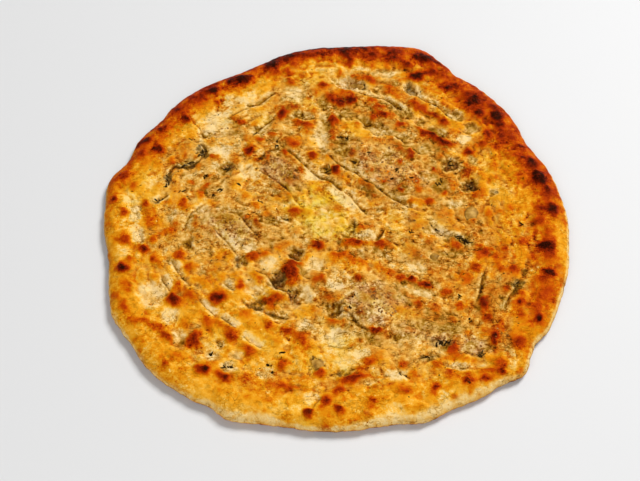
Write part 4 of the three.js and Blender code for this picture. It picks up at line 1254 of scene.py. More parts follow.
        rule = Wall
        lumps, ragged = read(self.lumps), read(self.ragged)
        browner = 1 - smooth(*rule.brown_width, read(self.pale_width))
        side = rule.base + rule.rim * np.maximum(read(self.rim) - rule.rim_from, 0) + rule.brown * browner
        side += rule.lumps * lumps + rule.ragged * ragged
        side += rule.foot * (1 - smooth(*rule.foot_lift, lift))
        under = rule.under + rule.under_patches * (read(self.tint) + lumps)
        on_wall = smooth(*rule.start_lift, lift + rule.start_lift[1] * (inset < rule.start_inset))
        uneven = rule.top_grain * self.edge_grain.at(x, y) + rule.top_ragged * ragged
        top = smooth(*rule.top_lift, lift + uneven + rule.top_brown * browner)
        beneath = {
            Layer.BAKE: under * (1 - on_wall) + side * on_wall,
            Layer.THIN: rule.thin,
            Layer.WALL: (rule.bare + rule.bare_brown * browner) * on_wall,
        }
        for layer, field in self.layers.items():
            values = read(field)
            if layer is not Layer.FOLD:
                values = values * top + beneath.get(layer, 0) * (1 - top)
            attribute = mesh.attributes.new(layer.value, "FLOAT", "POINT")
            attribute.data.foreach_set("value", values.astype(np.float32))

    def build(self) -> Piece:
        """Makes the bread with its layers and crust, and puts it in place of the solid.

        Returns:
            The bread.
        """
        rings = self._rings()
        columns = []
        for count, share, depth, climb, lift in rings:
            angle = np.arange(count) / count * WHOLE_TURN
            radius = self.outline.radius(angle)
            ripple = self.edge_ripple.at(radius * np.cos(angle), radius * np.sin(angle))
            radius = radius + self.edge_waver * ripple
            out = share * (radius - depth)
            columns.append(np.column_stack([out * np.cos(angle), out * np.sin(angle), radius - out,
                                            np.full(count, climb), np.full(count, lift)]))
        x, y, inset, climb, lift = np.vstack(columns).T
        bulge = self.bulge_height * (1 + self.bulge_waver * self.edge_grain.at(x, y))
        z = bulge * climb + lift * (self.surface(x, y) - bulge)
        starts = np.cumsum([0] + [ring[0] for ring in rings]).tolist()
        loops = [range(start, end) for start, end in zip(starts, starts[1:])]
        faces = [face for pair in zip(loops, loops[1:]) for face in self._stitch(*pair)]
        mesh = bpy.data.meshes.new("bread")
        mesh.from_pydata((np.column_stack([x, y, z]) * MM).tolist(), [], faces)
        mesh.polygons.foreach_set("use_smooth", [True] * len(mesh.polygons))
        self._paint(mesh, x, y, inset, lift)
        mesh.update()
        bread = place_mesh("bread", mesh)
        bread.data.materials.append(CrustFinish().material())
        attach(bread, BODY)
        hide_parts("naan")
        return bread


# Nodes


@dataclass(frozen=True)
class Pattern:
    """A noise: its size in millimetres, its finer detail, and where a mask made from it begins and ends."""

    size: float
    detail: float = 2
    roughness: float = 0.5
    ends: Pair = (-0.5, 0.5)

    def feeds(self) -> dict[str, float]:
        """What a noise node is set to for it."""
        return {"Scale": 1 / (self.size * MM), "Detail": self.detail, "Roughness": self.roughness}


class Desk:
    """A node tree with short ways to place and join nodes. Values are sockets or numbers."""

    MIDDLE = 0.5
    WARP_GAIN = 4

    def __init__(self, tree: bpy.types.NodeTree) -> None:
        """Keeps the tree."""
        self.tree = tree

    @cached_property
    def place(self) -> Socket:
        """Object coordinates."""
        return self.node("ShaderNodeTexCoord").outputs["Object"]

    def node(self, kind: str, feeds: dict | None = None, **settings: object) -> bpy.types.Node:
        """Places a node.

        Args:
            kind: The node's type name.
            feeds: Sockets to join to its inputs, or values to set there, by the inputs' names or numbers.
            **settings: Properties to set on it.

        Returns:
            The node.
        """
        made = self.tree.nodes.new(kind)
        for name, value in settings.items():
            setattr(made, name, value)
        for name, value in (feeds or {}).items():
            if isinstance(value, Socket):
                self.tree.links.new(value, made.inputs[name])
            else:
                made.inputs[name].default_value = value
        return made

    def math(self, operation: str, *values: Value, clamp: bool = False) -> Socket:
        """Works with up to three values."""
        feeds = dict(enumerate(values))
        return self.node("ShaderNodeMath", feeds, operation=operation, use_clamp=clamp).outputs[0]

    def times(self, *values: Value) -> Socket:
        """Multiplies values."""
        return reduce(lambda first, second: self.math("MULTIPLY", first, second), values)

    def add(self, value: Value, strength: Value, base: Value, clamp: bool = False) -> Socket:
        """Adds a value, times its strength, to a base."""
        return self.math("MULTIPLY_ADD", value, strength, base, clamp=clamp)

    def less(self, value: Value) -> Socket:
        """One less the value."""
        return self.math("SUBTRACT", 1, value)

    def bell(self, value: Value, centre: float, width: float) -> Socket:
        """A bell curve that is 1 at a centre and about a third one width from it."""
        off = self.math("DIVIDE", self.math("SUBTRACT", value, centre), width)
        return self.math("EXPONENT", self.times(off, off, -1))

    def ease(self, value: Value, low: float, high: float) -> Socket:
        """Eases from 0 at low to 1 at high."""
        feeds = {"Value": value, "From Min": low, "From Max": high}
        return self.node("ShaderNodeMapRange", feeds, interpolation_type="SMOOTHSTEP").outputs["Result"]

    def mix(self, share: Value, first: Value, second: Value) -> Socket:
        """Mixes two colours by the share of the second."""
        return self.node("ShaderNodeMix", {0: share, 6: first, 7: second}, data_type="RGBA").outputs[2]

    def noise(self, pattern: Pattern, place: Socket | None = None) -> Socket:
        """A noise, centred on 0."""
        feeds = {"Vector": place or self.place, **pattern.feeds()}
        return self.math("SUBTRACT", self.node("ShaderNodeTexNoise", feeds).outputs["Fac"], self.MIDDLE)

    def mask(self, pattern: Pattern) -> Socket:
        """A noise eased from 0 to 1 between the pattern's ends."""
        return self.ease(self.noise(pattern), *pattern.ends)

    def veins(self, pattern: Pattern, place: Socket) -> Socket:
        """Thin lines where a noise is near its middle."""
        return self.less(self.ease(self.math("ABSOLUTE", self.noise(pattern, place)), *pattern.ends))

    def warp(self, size: float, amount: float) -> Socket:
        """Shifts places about, so that a pattern looks uneven.

        Args:
            size: Size of the lumps that shift together, in millimetres.
            amount: About how far they shift.

        Returns:
            The shifted places.
        """
        noise = self.node("ShaderNodeTexNoise", {"Vector": self.place, "Scale": 1 / (size * MM)})
        feeds = {0: noise.outputs["Color"], 1: (self.WARP_GAIN * amount * MM,) * 3, 2: self.place}
        return self.node("ShaderNodeVectorMath", feeds, operation="MULTIPLY_ADD").outputs["Vector"]

    def drawn_out(self, place: Socket, turn: float, stretch: float) -> Socket:
        """Turns places and squeezes them across, so that a pattern is drawn out one way."""
        feeds = {"Vector": place, "Rotation": (0, 0, turn), "Scale": (1, stretch, 1)}
        return self.node("ShaderNodeMapping", feeds).outputs["Vector"]

    def cells(self, place: Socket, size: float) -> tuple[Socket, Socket]:
        """Divides places into uneven cells.

        Args:
            place: The places.
            size: Size of a cell in millimetres.

        Returns:
            The distance to the cell's middle in shares of its size, and a random value for each cell.
        """
        feeds = {"Vector": place, "Scale": 1 / (size * MM)}
        made = self.node("ShaderNodeTexVoronoi", feeds, voronoi_dimensions="2D")
        parts = self.node("ShaderNodeSeparateColor", {"Color": made.outputs["Color"]})
        return made.outputs["Distance"], parts.outputs["Red"]

    def ramp(self, value: Socket, stops: Stops) -> Socket:
        """Turns a value into a colour.

        Args:
            value: The value.
            stops: Places from 0 to 1 with screen colours.

        Returns:
            The colour.
        """
        made = self.node("ShaderNodeValToRGB", {"Fac": value})
        band = made.color_ramp
        while len(band.elements) < len(stops):
            band.elements.new(1)
        for element, (place, colour) in zip(band.elements, stops):
            element.position = place
            element.color = linear(*colour)
        return made.outputs["Color"]

    def layer(self, layer: Layer) -> Socket:
        """Reads one of the bread's layers."""
        return self.node("ShaderNodeAttribute", attribute_name=layer.value).outputs["Fac"]


class GrainGroup:
    """The fine grain that all the finishes share, built once: a mottle and a bump height."""

    NAME = "food grain"
    COARSE = "Coarse per Metre"
    FINE = "Fine per Metre"
    MOTTLE = "Mottle"
    HEIGHT = "Height"
    RATES = {COARSE: 400, FINE: 1100}
    DETAILS = {COARSE: 3, FINE: 2}
    ROUGHNESS = 0.6

    @classmethod
    def tree(cls) -> bpy.types.NodeTree:
        """Gives the group.

        Returns:
            The node group.
        """
        found = bpy.data.node_groups.get(cls.NAME)
        if found:
            return found
        tree = bpy.data.node_groups.new(cls.NAME, "ShaderNodeTree")
        for name, value in cls.RATES.items():
            socket = tree.interface.new_socket(name, in_out="INPUT", socket_type="NodeSocketFloat")
            socket.default_value = value
        for name in (cls.MOTTLE, cls.HEIGHT):
            tree.interface.new_socket(name, in_out="OUTPUT", socket_type="NodeSocketFloat")
        desk = Desk(tree)
        given = desk.node("NodeGroupInput").outputs
        layers = []
        for name, detail in cls.DETAILS.items():
            feeds = {"Vector": desk.place, "Scale": given[name], "Detail": detail, "Roughness": cls.ROUGHNESS}
            layers.append(desk.node("ShaderNodeTexNoise", feeds).outputs["Fac"])
        both = desk.math("ADD", *layers)
        desk.node("NodeGroupOutput", {cls.MOTTLE: desk.math("SUBTRACT", both, 1), cls.HEIGHT: both})
        return tree


# Finishes


class Finish:
    """What the finishes share: a material with a Principled shader, grain, bump and patches of colour."""

    name = "finish"
    coarse_mm = 2.5
    fine_mm = 0.9
    bump_mm = 0.25
    roughness = (0.5, 0.75)
    specular = 0.06
    sheen = (1, 0.72, 0.32, 1)
    patches = Pattern(3, 3)
    colours: Stops = ()

    def material(self) -> bpy.types.Material:
        """Builds the material.

        Returns:
            The material.
        """
        made = bpy.data.materials.new(self.name)
        made.use_nodes = True
        made.node_tree.nodes.clear()
        desk = Desk(made.node_tree)
        rates = {GrainGroup.COARSE: 1 / (self.coarse_mm * MM), GrainGroup.FINE: 1 / (self.fine_mm * MM)}
        grain = desk.node("ShaderNodeGroup", rates, node_tree=GrainGroup.tree()).outputs
        mottle = grain[GrainGroup.MOTTLE]
        height = self.height(desk, desk.times(grain[GrainGroup.HEIGHT], self.bump_mm))
        bump = desk.node("ShaderNodeBump", {"Distance": MM, "Height": height})
        low, high = self.roughness
        shader = desk.node("ShaderNodeBsdfPrincipled", {
            "Specular IOR Level": self.specular, "Specular Tint": self.sheen,
            "Base Color": self.colour(desk, mottle),
            "Roughness": desk.add(mottle, high - low, (high + low) / 2), "Normal": bump.outputs["Normal"],
        })
        desk.node("ShaderNodeOutputMaterial", {"Surface": shader.outputs["BSDF"]})
        return made

    def colour(self, desk: Desk, mottle: Socket) -> Socket:
        """The finish's colours in uneven patches, unless a finish has its own way."""
        return desk.ramp(desk.math("ADD", desk.noise(self.patches), Desk.MIDDLE), self.colours)

    def height(self, desk: Desk, grain: Socket) -> Socket:
        """The bump's height in millimetres, which is the grain unless a finish adds to it."""
        return grain


class CrustFinish(Finish):
    """Baked dough, from pale cream through gold and orange to char, greyer where the filling shows through.

    A pair for a mask says where it begins and ends. A band's pair says where its middle is and how wide it
    is, in millimetres from a fold's line on the lip's side.
    """

    name = "baked crust"
    coarse_mm = 2.4
    fine_mm = 1
    bump_mm = 0.35
    specular = 0.05

    crust_colours = (
        (0, (254, 212, 132)), (0.08, (250, 195, 90)), (0.16, (244, 177, 54)), (0.24, (237, 159, 28)),
        (0.32, (226, 140, 12)), (0.4, (218, 121, 6)), (0.48, (208, 100, 2)), (0.56, (197, 80, 1)),
        (0.64, (182, 62, 1)), (0.72, (160, 46, 1)), (0.8, (134, 32, 1)), (0.88, (100, 21, 1)),
        (1, (48, 10, 2)),
    )
    thin_colours = (
        (0, (245, 214, 157)), (0.1, (233, 197, 128)), (0.2, (219, 178, 103)), (0.3, (202, 157, 78)),
        (0.4, (186, 137, 51)), (0.5, (166, 117, 29)), (0.6, (147, 96, 13)), (0.7, (124, 74, 6)),
        (0.8, (98, 53, 5)), (0.9, (69, 34, 4)), (1, (40, 18, 3)),
    )
    mince_colours = (
        (0, (244, 210, 160)), (0.2, (220, 170, 108)), (0.4, (188, 125, 58)), (0.6, (148, 84, 27)),
        (0.8, (98, 48, 16)), (1, (44, 18, 6)),
    )
    wall_colours = (
        (0, (248, 212, 142)), (0.25, (238, 190, 104)), (0.5, (204, 142, 60)), (0.75, (142, 84, 30)),
        (1, (60, 30, 12)),
    )
    butter_colours = (
        (0, (247, 214, 96)), (0.25, (238, 190, 36)), (0.5, (212, 150, 16)), (1, (120, 66, 8)),
    )
    # Dark olive of the pits' painted shade and of the herb stains
    pit_shade_and_stain_colours = ((0.3, (40, 26, 8)), (0.5, (82, 57, 21)), (0.7, (136, 104, 52)))
    # Painted shade along each fold's line
    fold_line_shade_colour = (60, 34, 8)

    # Folds: painted shade along the line and beside it, a painted highlight on the lip, and a sharp step in
    # the bump
    fold_waver = Pattern(3)
    fold_waver_mm = 2
    line_breaks = Pattern(7, ends=(-0.16, 0.06))
    fold_line_shade_band = (-0.4, 0.55)
    lip_highlight_breaks = Pattern(5, ends=(-0.15, 0.12))
    lip_highlight_band = (1.2, 1)
    lip_highlight_tone = -0.26
    shade_band = (-1.8, 1.5)
    shade_tone = 0.14
    step_half = 0.7
    step_mm = 0.5

    # Wrinkles of the dried skin and creases between the dough's lumps: bumps, and painted shade in them
    slant = math.radians(38)
    hair_lines = Pattern(9, 4, 0.6, (0.004, 0.03))
    hair_stretch = 2
    hair_spots = Pattern(8, ends=(-0.05, 0.1))
    hair_thin = (0.08, 0.35)
    hair_shade_tone = 0.27
    hair_shade_grey = 0.3
    crease_lines = Pattern(8, 3, 0.55, (0, 0.03))
    crease_warp = (6, 1.5)
    crease_spots = Pattern(13, ends=(-0.06, 0.1))
    crease_thin = (0, 0.4)
    crease_shade_tone = 0.16
    crease_shade_grey = 0.2
    wrinkle_mm = -0.35

    # Grain of the skin, stronger where the dough is thin and in busy patches
    loose_thin = (-0.2, 0.45)
    loose_range = (0.65, 0.45)
    busy = Pattern(14, ends=(-0.12, 0.15))
    busy_range = (0.55, 0.9)
    lumps = Pattern(5, 3, 0.6)
    lump_tone = 0.58
    mottle_tone = 0.46
    fibres = Pattern(4, 3, 0.6)
    fibre_warp = (12, 2)
    fibre_stretch = 3.2
    fibre_tone = 0.42
    specks = Pattern(2.3, 2, 0.7, (0.15, 0.25))
    speck_tone = 0.4
    glints = Pattern(2.7, 2, 0.7, (0.14, 0.25))
    glint_tone = -0.26

    # Freckles: the distance from one to the next in millimetres, how many there are and how strong they are
    freckles = ((13, 0.4, 0.16), (6, 0.4, 0.16))
    freckle_warp = (0.4, 0.12)
    freckle_round = (0.02, 0.42)

    # Thin dough and the mince under it
    flecks = Pattern(3, 3, 0.65)
    fleck_tone = 0.8
    grey_patches = Pattern(6, 3, 0.6)
    grey_strength = 1.5
    grey_base = 0.05
    meat_patches = Pattern(8, 3, 0.6, (-0.1, 0.12))
    meat_ends = (0.2, 0.7)

    # Bare wall, butter, and the painted shade of the pits with the herb stains
    bare_patches = Pattern(7, 3, 0.6, (-0.15, 0.12))
    bare_range = (0.35, 0.6)
    unbaked = (0.45, 0.68)
    butter_patches = Pattern(9, 3, 0.6, (-0.22, 0.2))
    pit_shade_and_stain_patches = Pattern(2.6, 4, 0.65)
    pit_shade_and_soak_patches = Pattern(3.6, 3, 0.6)
    pit_shade_and_soak_strength = 2.2
    pit_shade_and_soak_ends = (0.15, 0.75)
    pit_shade_and_soak_border = (0.02, 0.3)
    pit_shade_and_soak_most = 0.85

    def _fold_place(self, desk: Desk) -> Socket:
        """Distance to the nearest fold's line, made a little uneven."""
        return desk.add(desk.noise(self.fold_waver), self.fold_waver_mm, desk.layer(Layer.FOLD))

    def _hairs(self, desk: Desk) -> Socket:
        """A mask of the fine wrinkles of the dried skin, here and there, along the slant of the folds."""
        drawn = desk.drawn_out(desk.place, self.slant, self.hair_stretch)
        return desk.times(desk.veins(self.hair_lines, drawn), desk.mask(self.hair_spots))

    def _creases(self, desk: Desk) -> Socket:
        """A mask of the lines between the dough's lumps, here and there."""
        uneven = desk.warp(*self.crease_warp)
        return desk.times(desk.veins(self.crease_lines, uneven), desk.mask(self.crease_spots))

    def _freckles(self, desk: Desk, size: float, share: float) -> Socket:
        """Small browned spots, a size apart and in a share of the places, some strong and some weak."""
        away, draw = desk.cells(desk.warp(*(part * size for part in self.freckle_warp)), size)
        return desk.times(desk.less(desk.ease(away, *self.freckle_round)), desk.ease(draw, 1 - share, 1))

    def _level(self, desk: Desk, mottle: Socket, thin: Socket) -> Socket:
        """How far the skin is baked at each place, with its grain and freckles.

        Args:
            desk: The material's nodes.
            mottle: The shared grain.
            thin: How thin the dough is.

        Returns:
            The level, not yet kept between 0 and 1.
        """
        base, more = self.loose_range
        loose = desk.add(desk.ease(thin, *self.loose_thin), more, base)
        base, more = self.busy_range
        loose = desk.times(loose, desk.add(desk.mask(self.busy), more, base))
        drawn = desk.drawn_out(desk.warp(*self.fibre_warp), self.slant, self.fibre_stretch)
        grain = desk.times(desk.noise(self.lumps), self.lump_tone)
        grain = desk.add(mottle, self.mottle_tone, grain)
        grain = desk.add(desk.noise(self.fibres, drawn), self.fibre_tone, grain)
        level = desk.add(grain, loose, desk.layer(Layer.BAKE))
        for size, share, tone in self.freckles:
            level = desk.add(self._freckles(desk, size, share), tone, level)
        for pattern, tone in ((self.specks, self.speck_tone), (self.glints, self.glint_tone)):
            level = desk.add(desk.times(desk.mask(pattern), loose), tone, level)
        return level

    def _pit_shade_and_soak(self, desk: Desk, pit_shade_and_stain: Socket) -> Socket:
        """How far the painted shade of the pits and the herb stains cover the dough, with a ragged border."""
        wet = desk.ease(desk.add(desk.noise(self.pit_shade_and_soak_patches), self.pit_shade_and_soak_strength, pit_shade_and_stain), *self.pit_shade_and_soak_ends)
        return desk.times(wet, desk.ease(pit_shade_and_stain, *self.pit_shade_and_soak_border), self.pit_shade_and_soak_most)

    def colour(self, desk: Desk, mottle: Socket) -> Socket:
        """Lays the crust's colours over each other.

        Args:
            desk: The material's nodes.
            mottle: The shared grain.

        Returns:
            The colour.
        """
        thin = desk.layer(Layer.THIN)
        fold = desk.layer(Layer.LINE)
        beside = self._fold_place(desk)
        line = desk.times(fold, desk.mask(self.line_breaks))
        hairs = desk.times(self._hairs(desk), desk.ease(thin, *self.hair_thin))
        creases = desk.times(self._creases(desk), desk.ease(thin, *self.crease_thin))
        # A painted highlight on each fold's lip
        lip = desk.times(desk.bell(beside, *self.lip_highlight_band), fold, desk.mask(self.lip_highlight_breaks))
        shade = desk.times(desk.bell(beside, *self.shade_band), line)
        level = self._level(desk, mottle, thin)
        # Painted shade in the creases and wrinkles, and the painted highlight on the lips
        for mask, tone in ((creases, self.crease_shade_tone), (lip, self.lip_highlight_tone), (hairs, self.hair_shade_tone)):
            level = desk.add(mask, tone, level)
        level = desk.add(shade, self.shade_tone, level, clamp=True)

        flecked = desk.add(desk.noise(self.flecks), desk.times(thin, self.fleck_tone), level)
        meat = desk.ease(desk.layer(Layer.MINCE), *self.meat_ends)
        meat = desk.times(desk.mask(self.meat_patches), meat)
        filling = desk.mix(meat, desk.ramp(flecked, self.thin_colours), desk.ramp(level, self.mince_colours))
        grey = desk.math("ADD", thin, self.grey_base)
        grey = desk.add(desk.noise(self.grey_patches), self.grey_strength, grey)
        # Painted shade: greyer in the creases and wrinkles
        grey = desk.add(creases, self.crease_shade_grey, grey)
        grey = desk.add(hairs, self.hair_shade_grey, grey, clamp=True)
        colour = desk.mix(grey, desk.ramp(level, self.crust_colours), filling)

        base, more = self.bare_range
        bare = desk.times(desk.layer(Layer.WALL), desk.add(desk.mask(self.bare_patches), more, base))
        colour = desk.mix(bare, colour, desk.ramp(level, self.wall_colours))
        soft = desk.less(desk.ease(level, *self.unbaked))
        butter = desk.times(desk.layer(Layer.BUTTER), soft, desk.mask(self.butter_patches))
        colour = desk.mix(butter, colour, desk.ramp(level, self.butter_colours))
        # Painted shade in the pits, with the herb stains
        uneven = desk.math("ADD", desk.noise(self.pit_shade_and_stain_patches), Desk.MIDDLE)
        pit_shade_and_soak = self._pit_shade_and_soak(desk, desk.layer(Layer.PIT_SHADE_AND_STAIN))
        colour = desk.mix(pit_shade_and_soak, colour, desk.ramp(uneven, self.pit_shade_and_stain_colours))
        # Painted shade along each fold's line
        fold_line_shade = desk.times(desk.bell(beside, *self.fold_line_shade_band), line)
        return desk.mix(fold_line_shade, colour, linear(*self.fold_line_shade_colour))

    def height(self, desk: Desk, grain: Socket) -> Socket:
        """Adds the folds' sharp steps and the wrinkles to the grain.

        Args:
            desk: The material's nodes.
            grain: Height of the shared grain.

        Returns:
            The height in millimetres.
        """
        step = desk.ease(self._fold_place(desk), -self.step_half, self.step_half)
        for wrinkles in (self._hairs(desk), self._creases(desk)):
            grain = desk.add(wrinkles, self.wrinkle_mm, grain)
        return desk.add(desk.times(step, desk.layer(Layer.LINE)), self.step_mm, grain)


class HerbFinish(Finish):
    """Cooked herb leaf, nearly black with olive where it is thin."""

    name = "herb leaf"
    roughness = (0.5, 0.7)
    specular = 0.02
    colours = ((0.3, (20, 11, 3)), (0.5, (42, 26, 7)), (0.7, (96, 68, 24)))


class OnionFinish(Finish):
    """Soft cooked onion, amber with paler veins."""

    name = "cooked onion"
    bump_mm = 0.12
    roughness = (0.35, 0.55)
    specular = 0.3
    patches = Pattern(4)
    colours = ((0.3, (122, 82, 22)), (0.5, (164, 116, 38)), (0.7, (202, 154, 70)))


class MinceFinish(Finish):
    """Fine cooked mince, crumb by crumb from brown to tan."""

    name = "cooked mince"
    roughness = (0.5, 0.7)
    patches = Pattern(5)
    colours = ((0.3, (112, 66, 26)), (0.5, (164, 110, 50)), (0.7, (202, 152, 82)))


# Scattered bits


class ScatterTree:
    """A Geometry Nodes tree that sets a rough little ball on every point, in the point's turn and size."""

    TURN = "bit_turn"
    SIZE = "bit_size"
    ROUGH = "Roughness of Form"
    LUMPS = "Lumps per Metre"
    FINISH = "Finish"
    KINDS = {ROUGH: "NodeSocketFloat", LUMPS: "NodeSocketFloat", FINISH: "NodeSocketMaterial"}
    BALL_LEVEL = 2

    def __init__(self) -> None:
        """Builds the tree once."""
        self.tree = bpy.data.node_groups.new("scattered bits", "GeometryNodeTree")
        face = self.tree.interface
        face.new_socket("Points", in_out="INPUT", socket_type="NodeSocketGeometry")
        self.inputs = {}
        for name, kind in self.KINDS.items():
            self.inputs[name] = face.new_socket(name, in_out="INPUT", socket_type=kind).identifier
        face.new_socket("Bits", in_out="OUTPUT", socket_type="NodeSocketGeometry")
        desk = Desk(self.tree)
        given = desk.node("NodeGroupInput").outputs
        points = desk.node("GeometryNodeMeshToPoints", {"Mesh": given["Points"]})
        ball = desk.node("GeometryNodeMeshIcoSphere", {"Radius": 1, "Subdivisions": self.BALL_LEVEL})
        facing = desk.node("FunctionNodeEulerToRotation", {"Euler": self._carried(desk, self.TURN)})
        placed = desk.node("GeometryNodeInstanceOnPoints", {
            "Points": points.outputs["Points"], "Instance": ball.outputs["Mesh"],
            "Rotation": facing.outputs["Rotation"], "Scale": self._carried(desk, self.SIZE),
        })
        real = desk.node("GeometryNodeRealizeInstances", {"Geometry": placed.outputs["Instances"]})
        noise = desk.node("ShaderNodeTexNoise", {"Scale": given[self.LUMPS]})
        feeds = {0: noise.outputs["Color"], 1: (Desk.MIDDLE,) * 3}
        stray = desk.node("ShaderNodeVectorMath", feeds, operation="SUBTRACT")
        feeds = {0: stray.outputs["Vector"], "Scale": given[self.ROUGH]}
        stray = desk.node("ShaderNodeVectorMath", feeds, operation="SCALE")
        feeds = {"Geometry": real.outputs["Geometry"], "Offset": stray.outputs["Vector"]}
        moved = desk.node("GeometryNodeSetPosition", feeds)
        shaded = desk.node("GeometryNodeSetShadeSmooth", {"Geometry": moved.outputs["Geometry"]})
        feeds = {"Geometry": shaded.outputs["Geometry"], "Material": given[self.FINISH]}
        painted = desk.node("GeometryNodeSetMaterial", feeds)
        desk.node("NodeGroupOutput", {"Bits": painted.outputs["Geometry"]})

    @staticmethod
    def _carried(desk: Desk, name: str) -> Socket:
        """Reads a vector that each point carries."""
        made = desk.node("GeometryNodeInputNamedAttribute", {"Name": name}, data_type="FLOAT_VECTOR")
        return made.outputs["Attribute"]

    def scatter(self, name: str, place: Field, turn: Field, size: Field, inputs: dict[str, object]) -> Piece:
        """Makes one plain mesh of bits.

        Args:
            name: Name of the piece.
            place: Middle of each bit in metres.
            turn: Euler angles of each bit.
            size: Half sizes of each bit in metres.
            inputs: What the tree's inputs are set to, by their names.

        Returns:
            The piece.
        """
        mesh = bpy.data.meshes.new(name + " points")
        mesh.from_pydata(place.tolist(), [], [])
        for attribute, values in ((self.TURN, turn), (self.SIZE, size)):
            data = mesh.attributes.new(attribute, "FLOAT_VECTOR", "POINT").data
            data.foreach_set("vector", values.astype(np.float32).ravel())
        carrier = place_mesh(name + " points", mesh)
        modifier = carrier.modifiers.new("scatter", "NODES")
        modifier.node_group = self.tree
        for label, value in inputs.items():
            modifier[self.inputs[label]] = value
        ready = carrier.evaluated_get(bpy.context.evaluated_depsgraph_get())
        plain = bpy.data.meshes.new_from_object(ready)
        plain.name = name
        bpy.data.objects.remove(carrier)
        return place_mesh(name, plain)


@dataclass(frozen=True)
class Kind:
    """One kind of bits: the piece's name, its finish, and its sizes in millimetres."""

    name: str
    finish: type[Finish]
    thickness: float
    lift: float
    rough: float


@dataclass
class Bits:
    """Everything that breaks through the crust: herb leaves, onion pieces and crumbs of mince."""

    tree: ScatterTree
    bread: Bread
    herb: Kind = Kind("herb_leaves", HerbFinish, 0.5, 0, 0.9)
    onion: Kind = Kind("onion_pieces", OnionFinish, 2, -0.5, 0.9)
    crumb: Kind = Kind("mince_crumbs", MinceFinish, 0.9, -0.2, 0.6)
    lump_size: float = 2.2
    slope_reach: float = 1.5
    sliver_area: float = 4
    least_slivers: int = 3
    sliver_spread: float = 0.35
    sliver_least: float = 1.6
    sliver_most: Pair = (0.65, 0.8)
    sliver_width: Pair = (0.5, 1.5)
    sliver_turn: float = 60
    specks: int = 260
    speck_field: float = 150
    speck_inset: float = 14
    speck_length: Pair = (0.6, 2)
    speck_width: Pair = (0.35, 0.7)
    crumbs: int = 420
    crumb_tries: int = 60
    crumb_field: Pair = (-120, 125)
    crumb_border: Pair = (0.4, 1.1)
    crumb_chance: float = 0.5
    crumb_half: Pair = (0.4, 0.9)
    crumb_stretch: Pair = (1, 1.6)
    seed: int = 64

    def _lay(self, kind: Kind, rows: Field) -> Piece:
        """Lays bits on the bread, along its slope.

        Args:
            kind: The kind of bits.
            rows: Plan place, length, width and turn of each bit.

        Returns:
            The piece.
        """
        x, y, length, width, turn = rows.T
        top, reach = self.bread.surface, self.slope_reach
        rise_x = (top(x + reach, y) - top(x - reach, y)) / (2 * reach)
        rise_y = (top(x, y + reach) - top(x, y - reach)) / (2 * reach)
        place = np.column_stack([x, y, top(x, y) + kind.lift]) * MM
        angles = np.column_stack([np.arctan(rise_y), -np.arctan(rise_x), np.radians(turn)])
        size = np.column_stack([length, width, np.full_like(length, kind.thickness)]) / 2 * MM
        inputs = {
            self.tree.ROUGH: kind.rough * MM, self.tree.LUMPS: 1 / (self.lump_size * MM),
            self.tree.FINISH: kind.finish().material(),
        }
        return self.tree.scatter(kind.name, place, angles, size, inputs)

    def herbs(self) -> Piece:
        """Dark slivers of leaf in the tears, with fine specks in the thin dough.

        Returns:
            The piece.
        """
        draw = np.random.default_rng(self.seed)
        share, more = self.sliver_most
        rows = []
        for x, y, length, width, turn in HERBS:
            c, s = math.cos(math.radians(turn)), math.sin(math.radians(turn))
            for _ in range(max(self.least_slivers, round(length * width / self.sliver_area))):
                along, across = draw.uniform(-self.sliver_spread, self.sliver_spread, 2) * (length, width)
                long = draw.uniform(self.sliver_least, share * length + more)
                wide = draw.uniform(*self.sliver_width)
                off = draw.uniform(-self.sliver_turn, self.sliver_turn)
                rows.append((x + along * c - across * s, y + along * s + across * c, long, wide, turn + off))
        count = len(rows) + self.specks
        while len(rows) < count:
            x, y = draw.uniform(-self.speck_field, self.speck_field, 2)
            if self.bread.outline.inset(np.array(x), np.array(y)) > self.speck_inset:
                long, wide = draw.uniform(*self.speck_length), draw.uniform(*self.speck_width)
                rows.append((x, y, long, wide, draw.uniform(0, TURN_DEGREES / 2)))
        return self._lay(self.herb, np.array(rows))

    def onions(self) -> Piece:
        """Soft onion pieces that lift the skin."""
        return self._lay(self.onion, np.array(ONIONS, float))

    def mince(self) -> Piece:
        """Crumbs of mince half sunk in the thin dough.

        Returns:
            The piece.
        """
        draw = np.random.default_rng(self.seed + 1)
        x, y = draw.uniform(*self.crumb_field, (2, self.crumb_tries * self.crumbs))
        shown = np.zeros_like(x)
        for oval in THIN:
            shown = np.maximum(shown, oval.amount * (1 - smooth(*self.crumb_border, oval.reach(x, y))))
        kept = np.flatnonzero(draw.random(len(x)) < self.crumb_chance * shown**2)[: self.crumbs]
        count = len(kept)
        width = 2 * draw.uniform(*self.crumb_half, count)
        length = width * draw.uniform(*self.crumb_stretch, count)
        turn = draw.uniform(0, TURN_DEGREES / 2, count)
        return self._lay(self.crumb, np.column_stack([x[kept], y[kept], length, width, turn]))


# Studio


@dataclass(frozen=True)
class Light:
    """A soft square light: its place and the length of its sides in metres, and its power in watts."""

    name: str
    place: Place
    size: float
    watts: float

    def hang(self) -> None:
        """Hangs the light so that it faces the bread."""
        lamp = bpy.data.lights.new(self.name, "AREA")
        lamp.size = self.size
        lamp.energy = self.watts
        stand = bpy.data.objects.new(self.name, lamp)
        stand.location = self.place
        x, y, z = self.place
        stand.rotation_euler = (math.atan2(math.hypot(x, y), z), 0, math.atan2(y, x) + math.pi / 2)
        bpy.context.scene.collection.objects.link(stand)


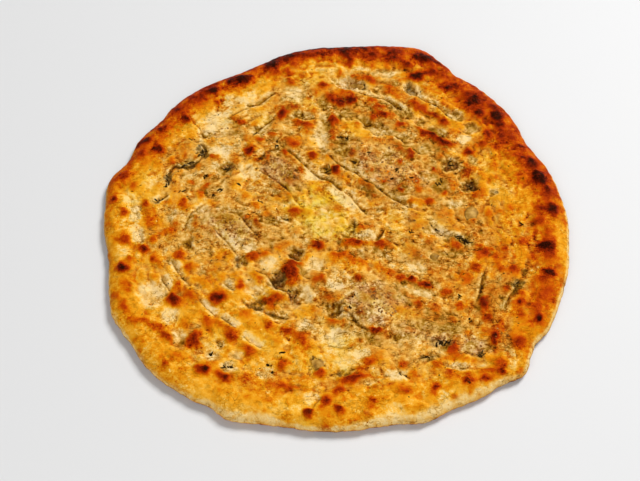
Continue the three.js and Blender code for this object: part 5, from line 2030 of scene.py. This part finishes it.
@dataclass
class Studio:
    """The pale floor, the soft light and the camera at the photo's angle."""

    eye: Place = (-10.4, -395.3, 657.7)
    elevation: float = 59.87
    focal_pixels: float = 1126.1
    image_width: int = 640
    sensor_mm: float = 36
    floor_half: float = 3
    floor_level: float = 0.76
    floor_roughness: float = 0.6
    lights: tuple[Light, ...] = (
        Light("key light", (1.35, 1.45, 2.2), 1, 81),
        Light("fill light", (-0.4, -1.3, 1), 1.4, 11),
    )
    sky: float = 0.22

    def build(self) -> None:
        """Makes the floor, the lights, the soft sky and the camera."""
        self._floor()
        for light in self.lights:
            light.hang()
        world = bpy.data.worlds.new("soft room")
        world.use_nodes = True
        background = world.node_tree.nodes["Background"]
        background.inputs["Color"].default_value = (1, 1, 1, 1)
        background.inputs["Strength"].default_value = self.sky
        scene = bpy.context.scene
        scene.world = world
        scene.view_settings.view_transform = "Standard"
        camera = bpy.data.cameras.new("camera")
        camera.sensor_width = self.sensor_mm
        camera.lens = self.focal_pixels * self.sensor_mm / self.image_width
        stand = bpy.data.objects.new("camera", camera)
        stand.location = [value * MM for value in self.eye]
        stand.rotation_euler = (math.radians(90 - self.elevation), 0, 0)
        scene.collection.objects.link(stand)
        scene.camera = stand

    def _floor(self) -> None:
        """A wide pale floor just under the bread."""
        half = self.floor_half
        corners = [(-half, -half, 0), (half, -half, 0), (half, half, 0), (-half, half, 0)]
        mesh = bpy.data.meshes.new("floor")
        mesh.from_pydata(corners, [], [(0, 1, 2, 3)])
        floor = place_mesh("floor", mesh)
        paint = bpy.data.materials.new("pale floor")
        paint.use_nodes = True
        shader = paint.node_tree.nodes["Principled BSDF"]
        shader.inputs["Base Color"].default_value = (self.floor_level,) * 3 + (1,)
        shader.inputs["Roughness"].default_value = self.floor_roughness
        mesh.materials.append(paint)


def main() -> None:
    """Builds the studio, the bread and its bits."""
    logging.basicConfig(level=logging.INFO, format="%(name)s: %(message)s")
    Studio().build()
    bread = Bread()
    loaf = bread.build()
    LOG.info("bread: %d faces", len(loaf.data.polygons))
    bits = Bits(ScatterTree(), bread)
    for make, slot in ((bits.herbs, Slot.HERB), (bits.onions, Slot.ONION), (bits.mince, Slot.FILLING)):
        piece = make()
        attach(piece, BODY)
        LOG.info("%s: %d faces", piece.name, len(piece.data.polygons))


if __name__ == "__main__":
    main()
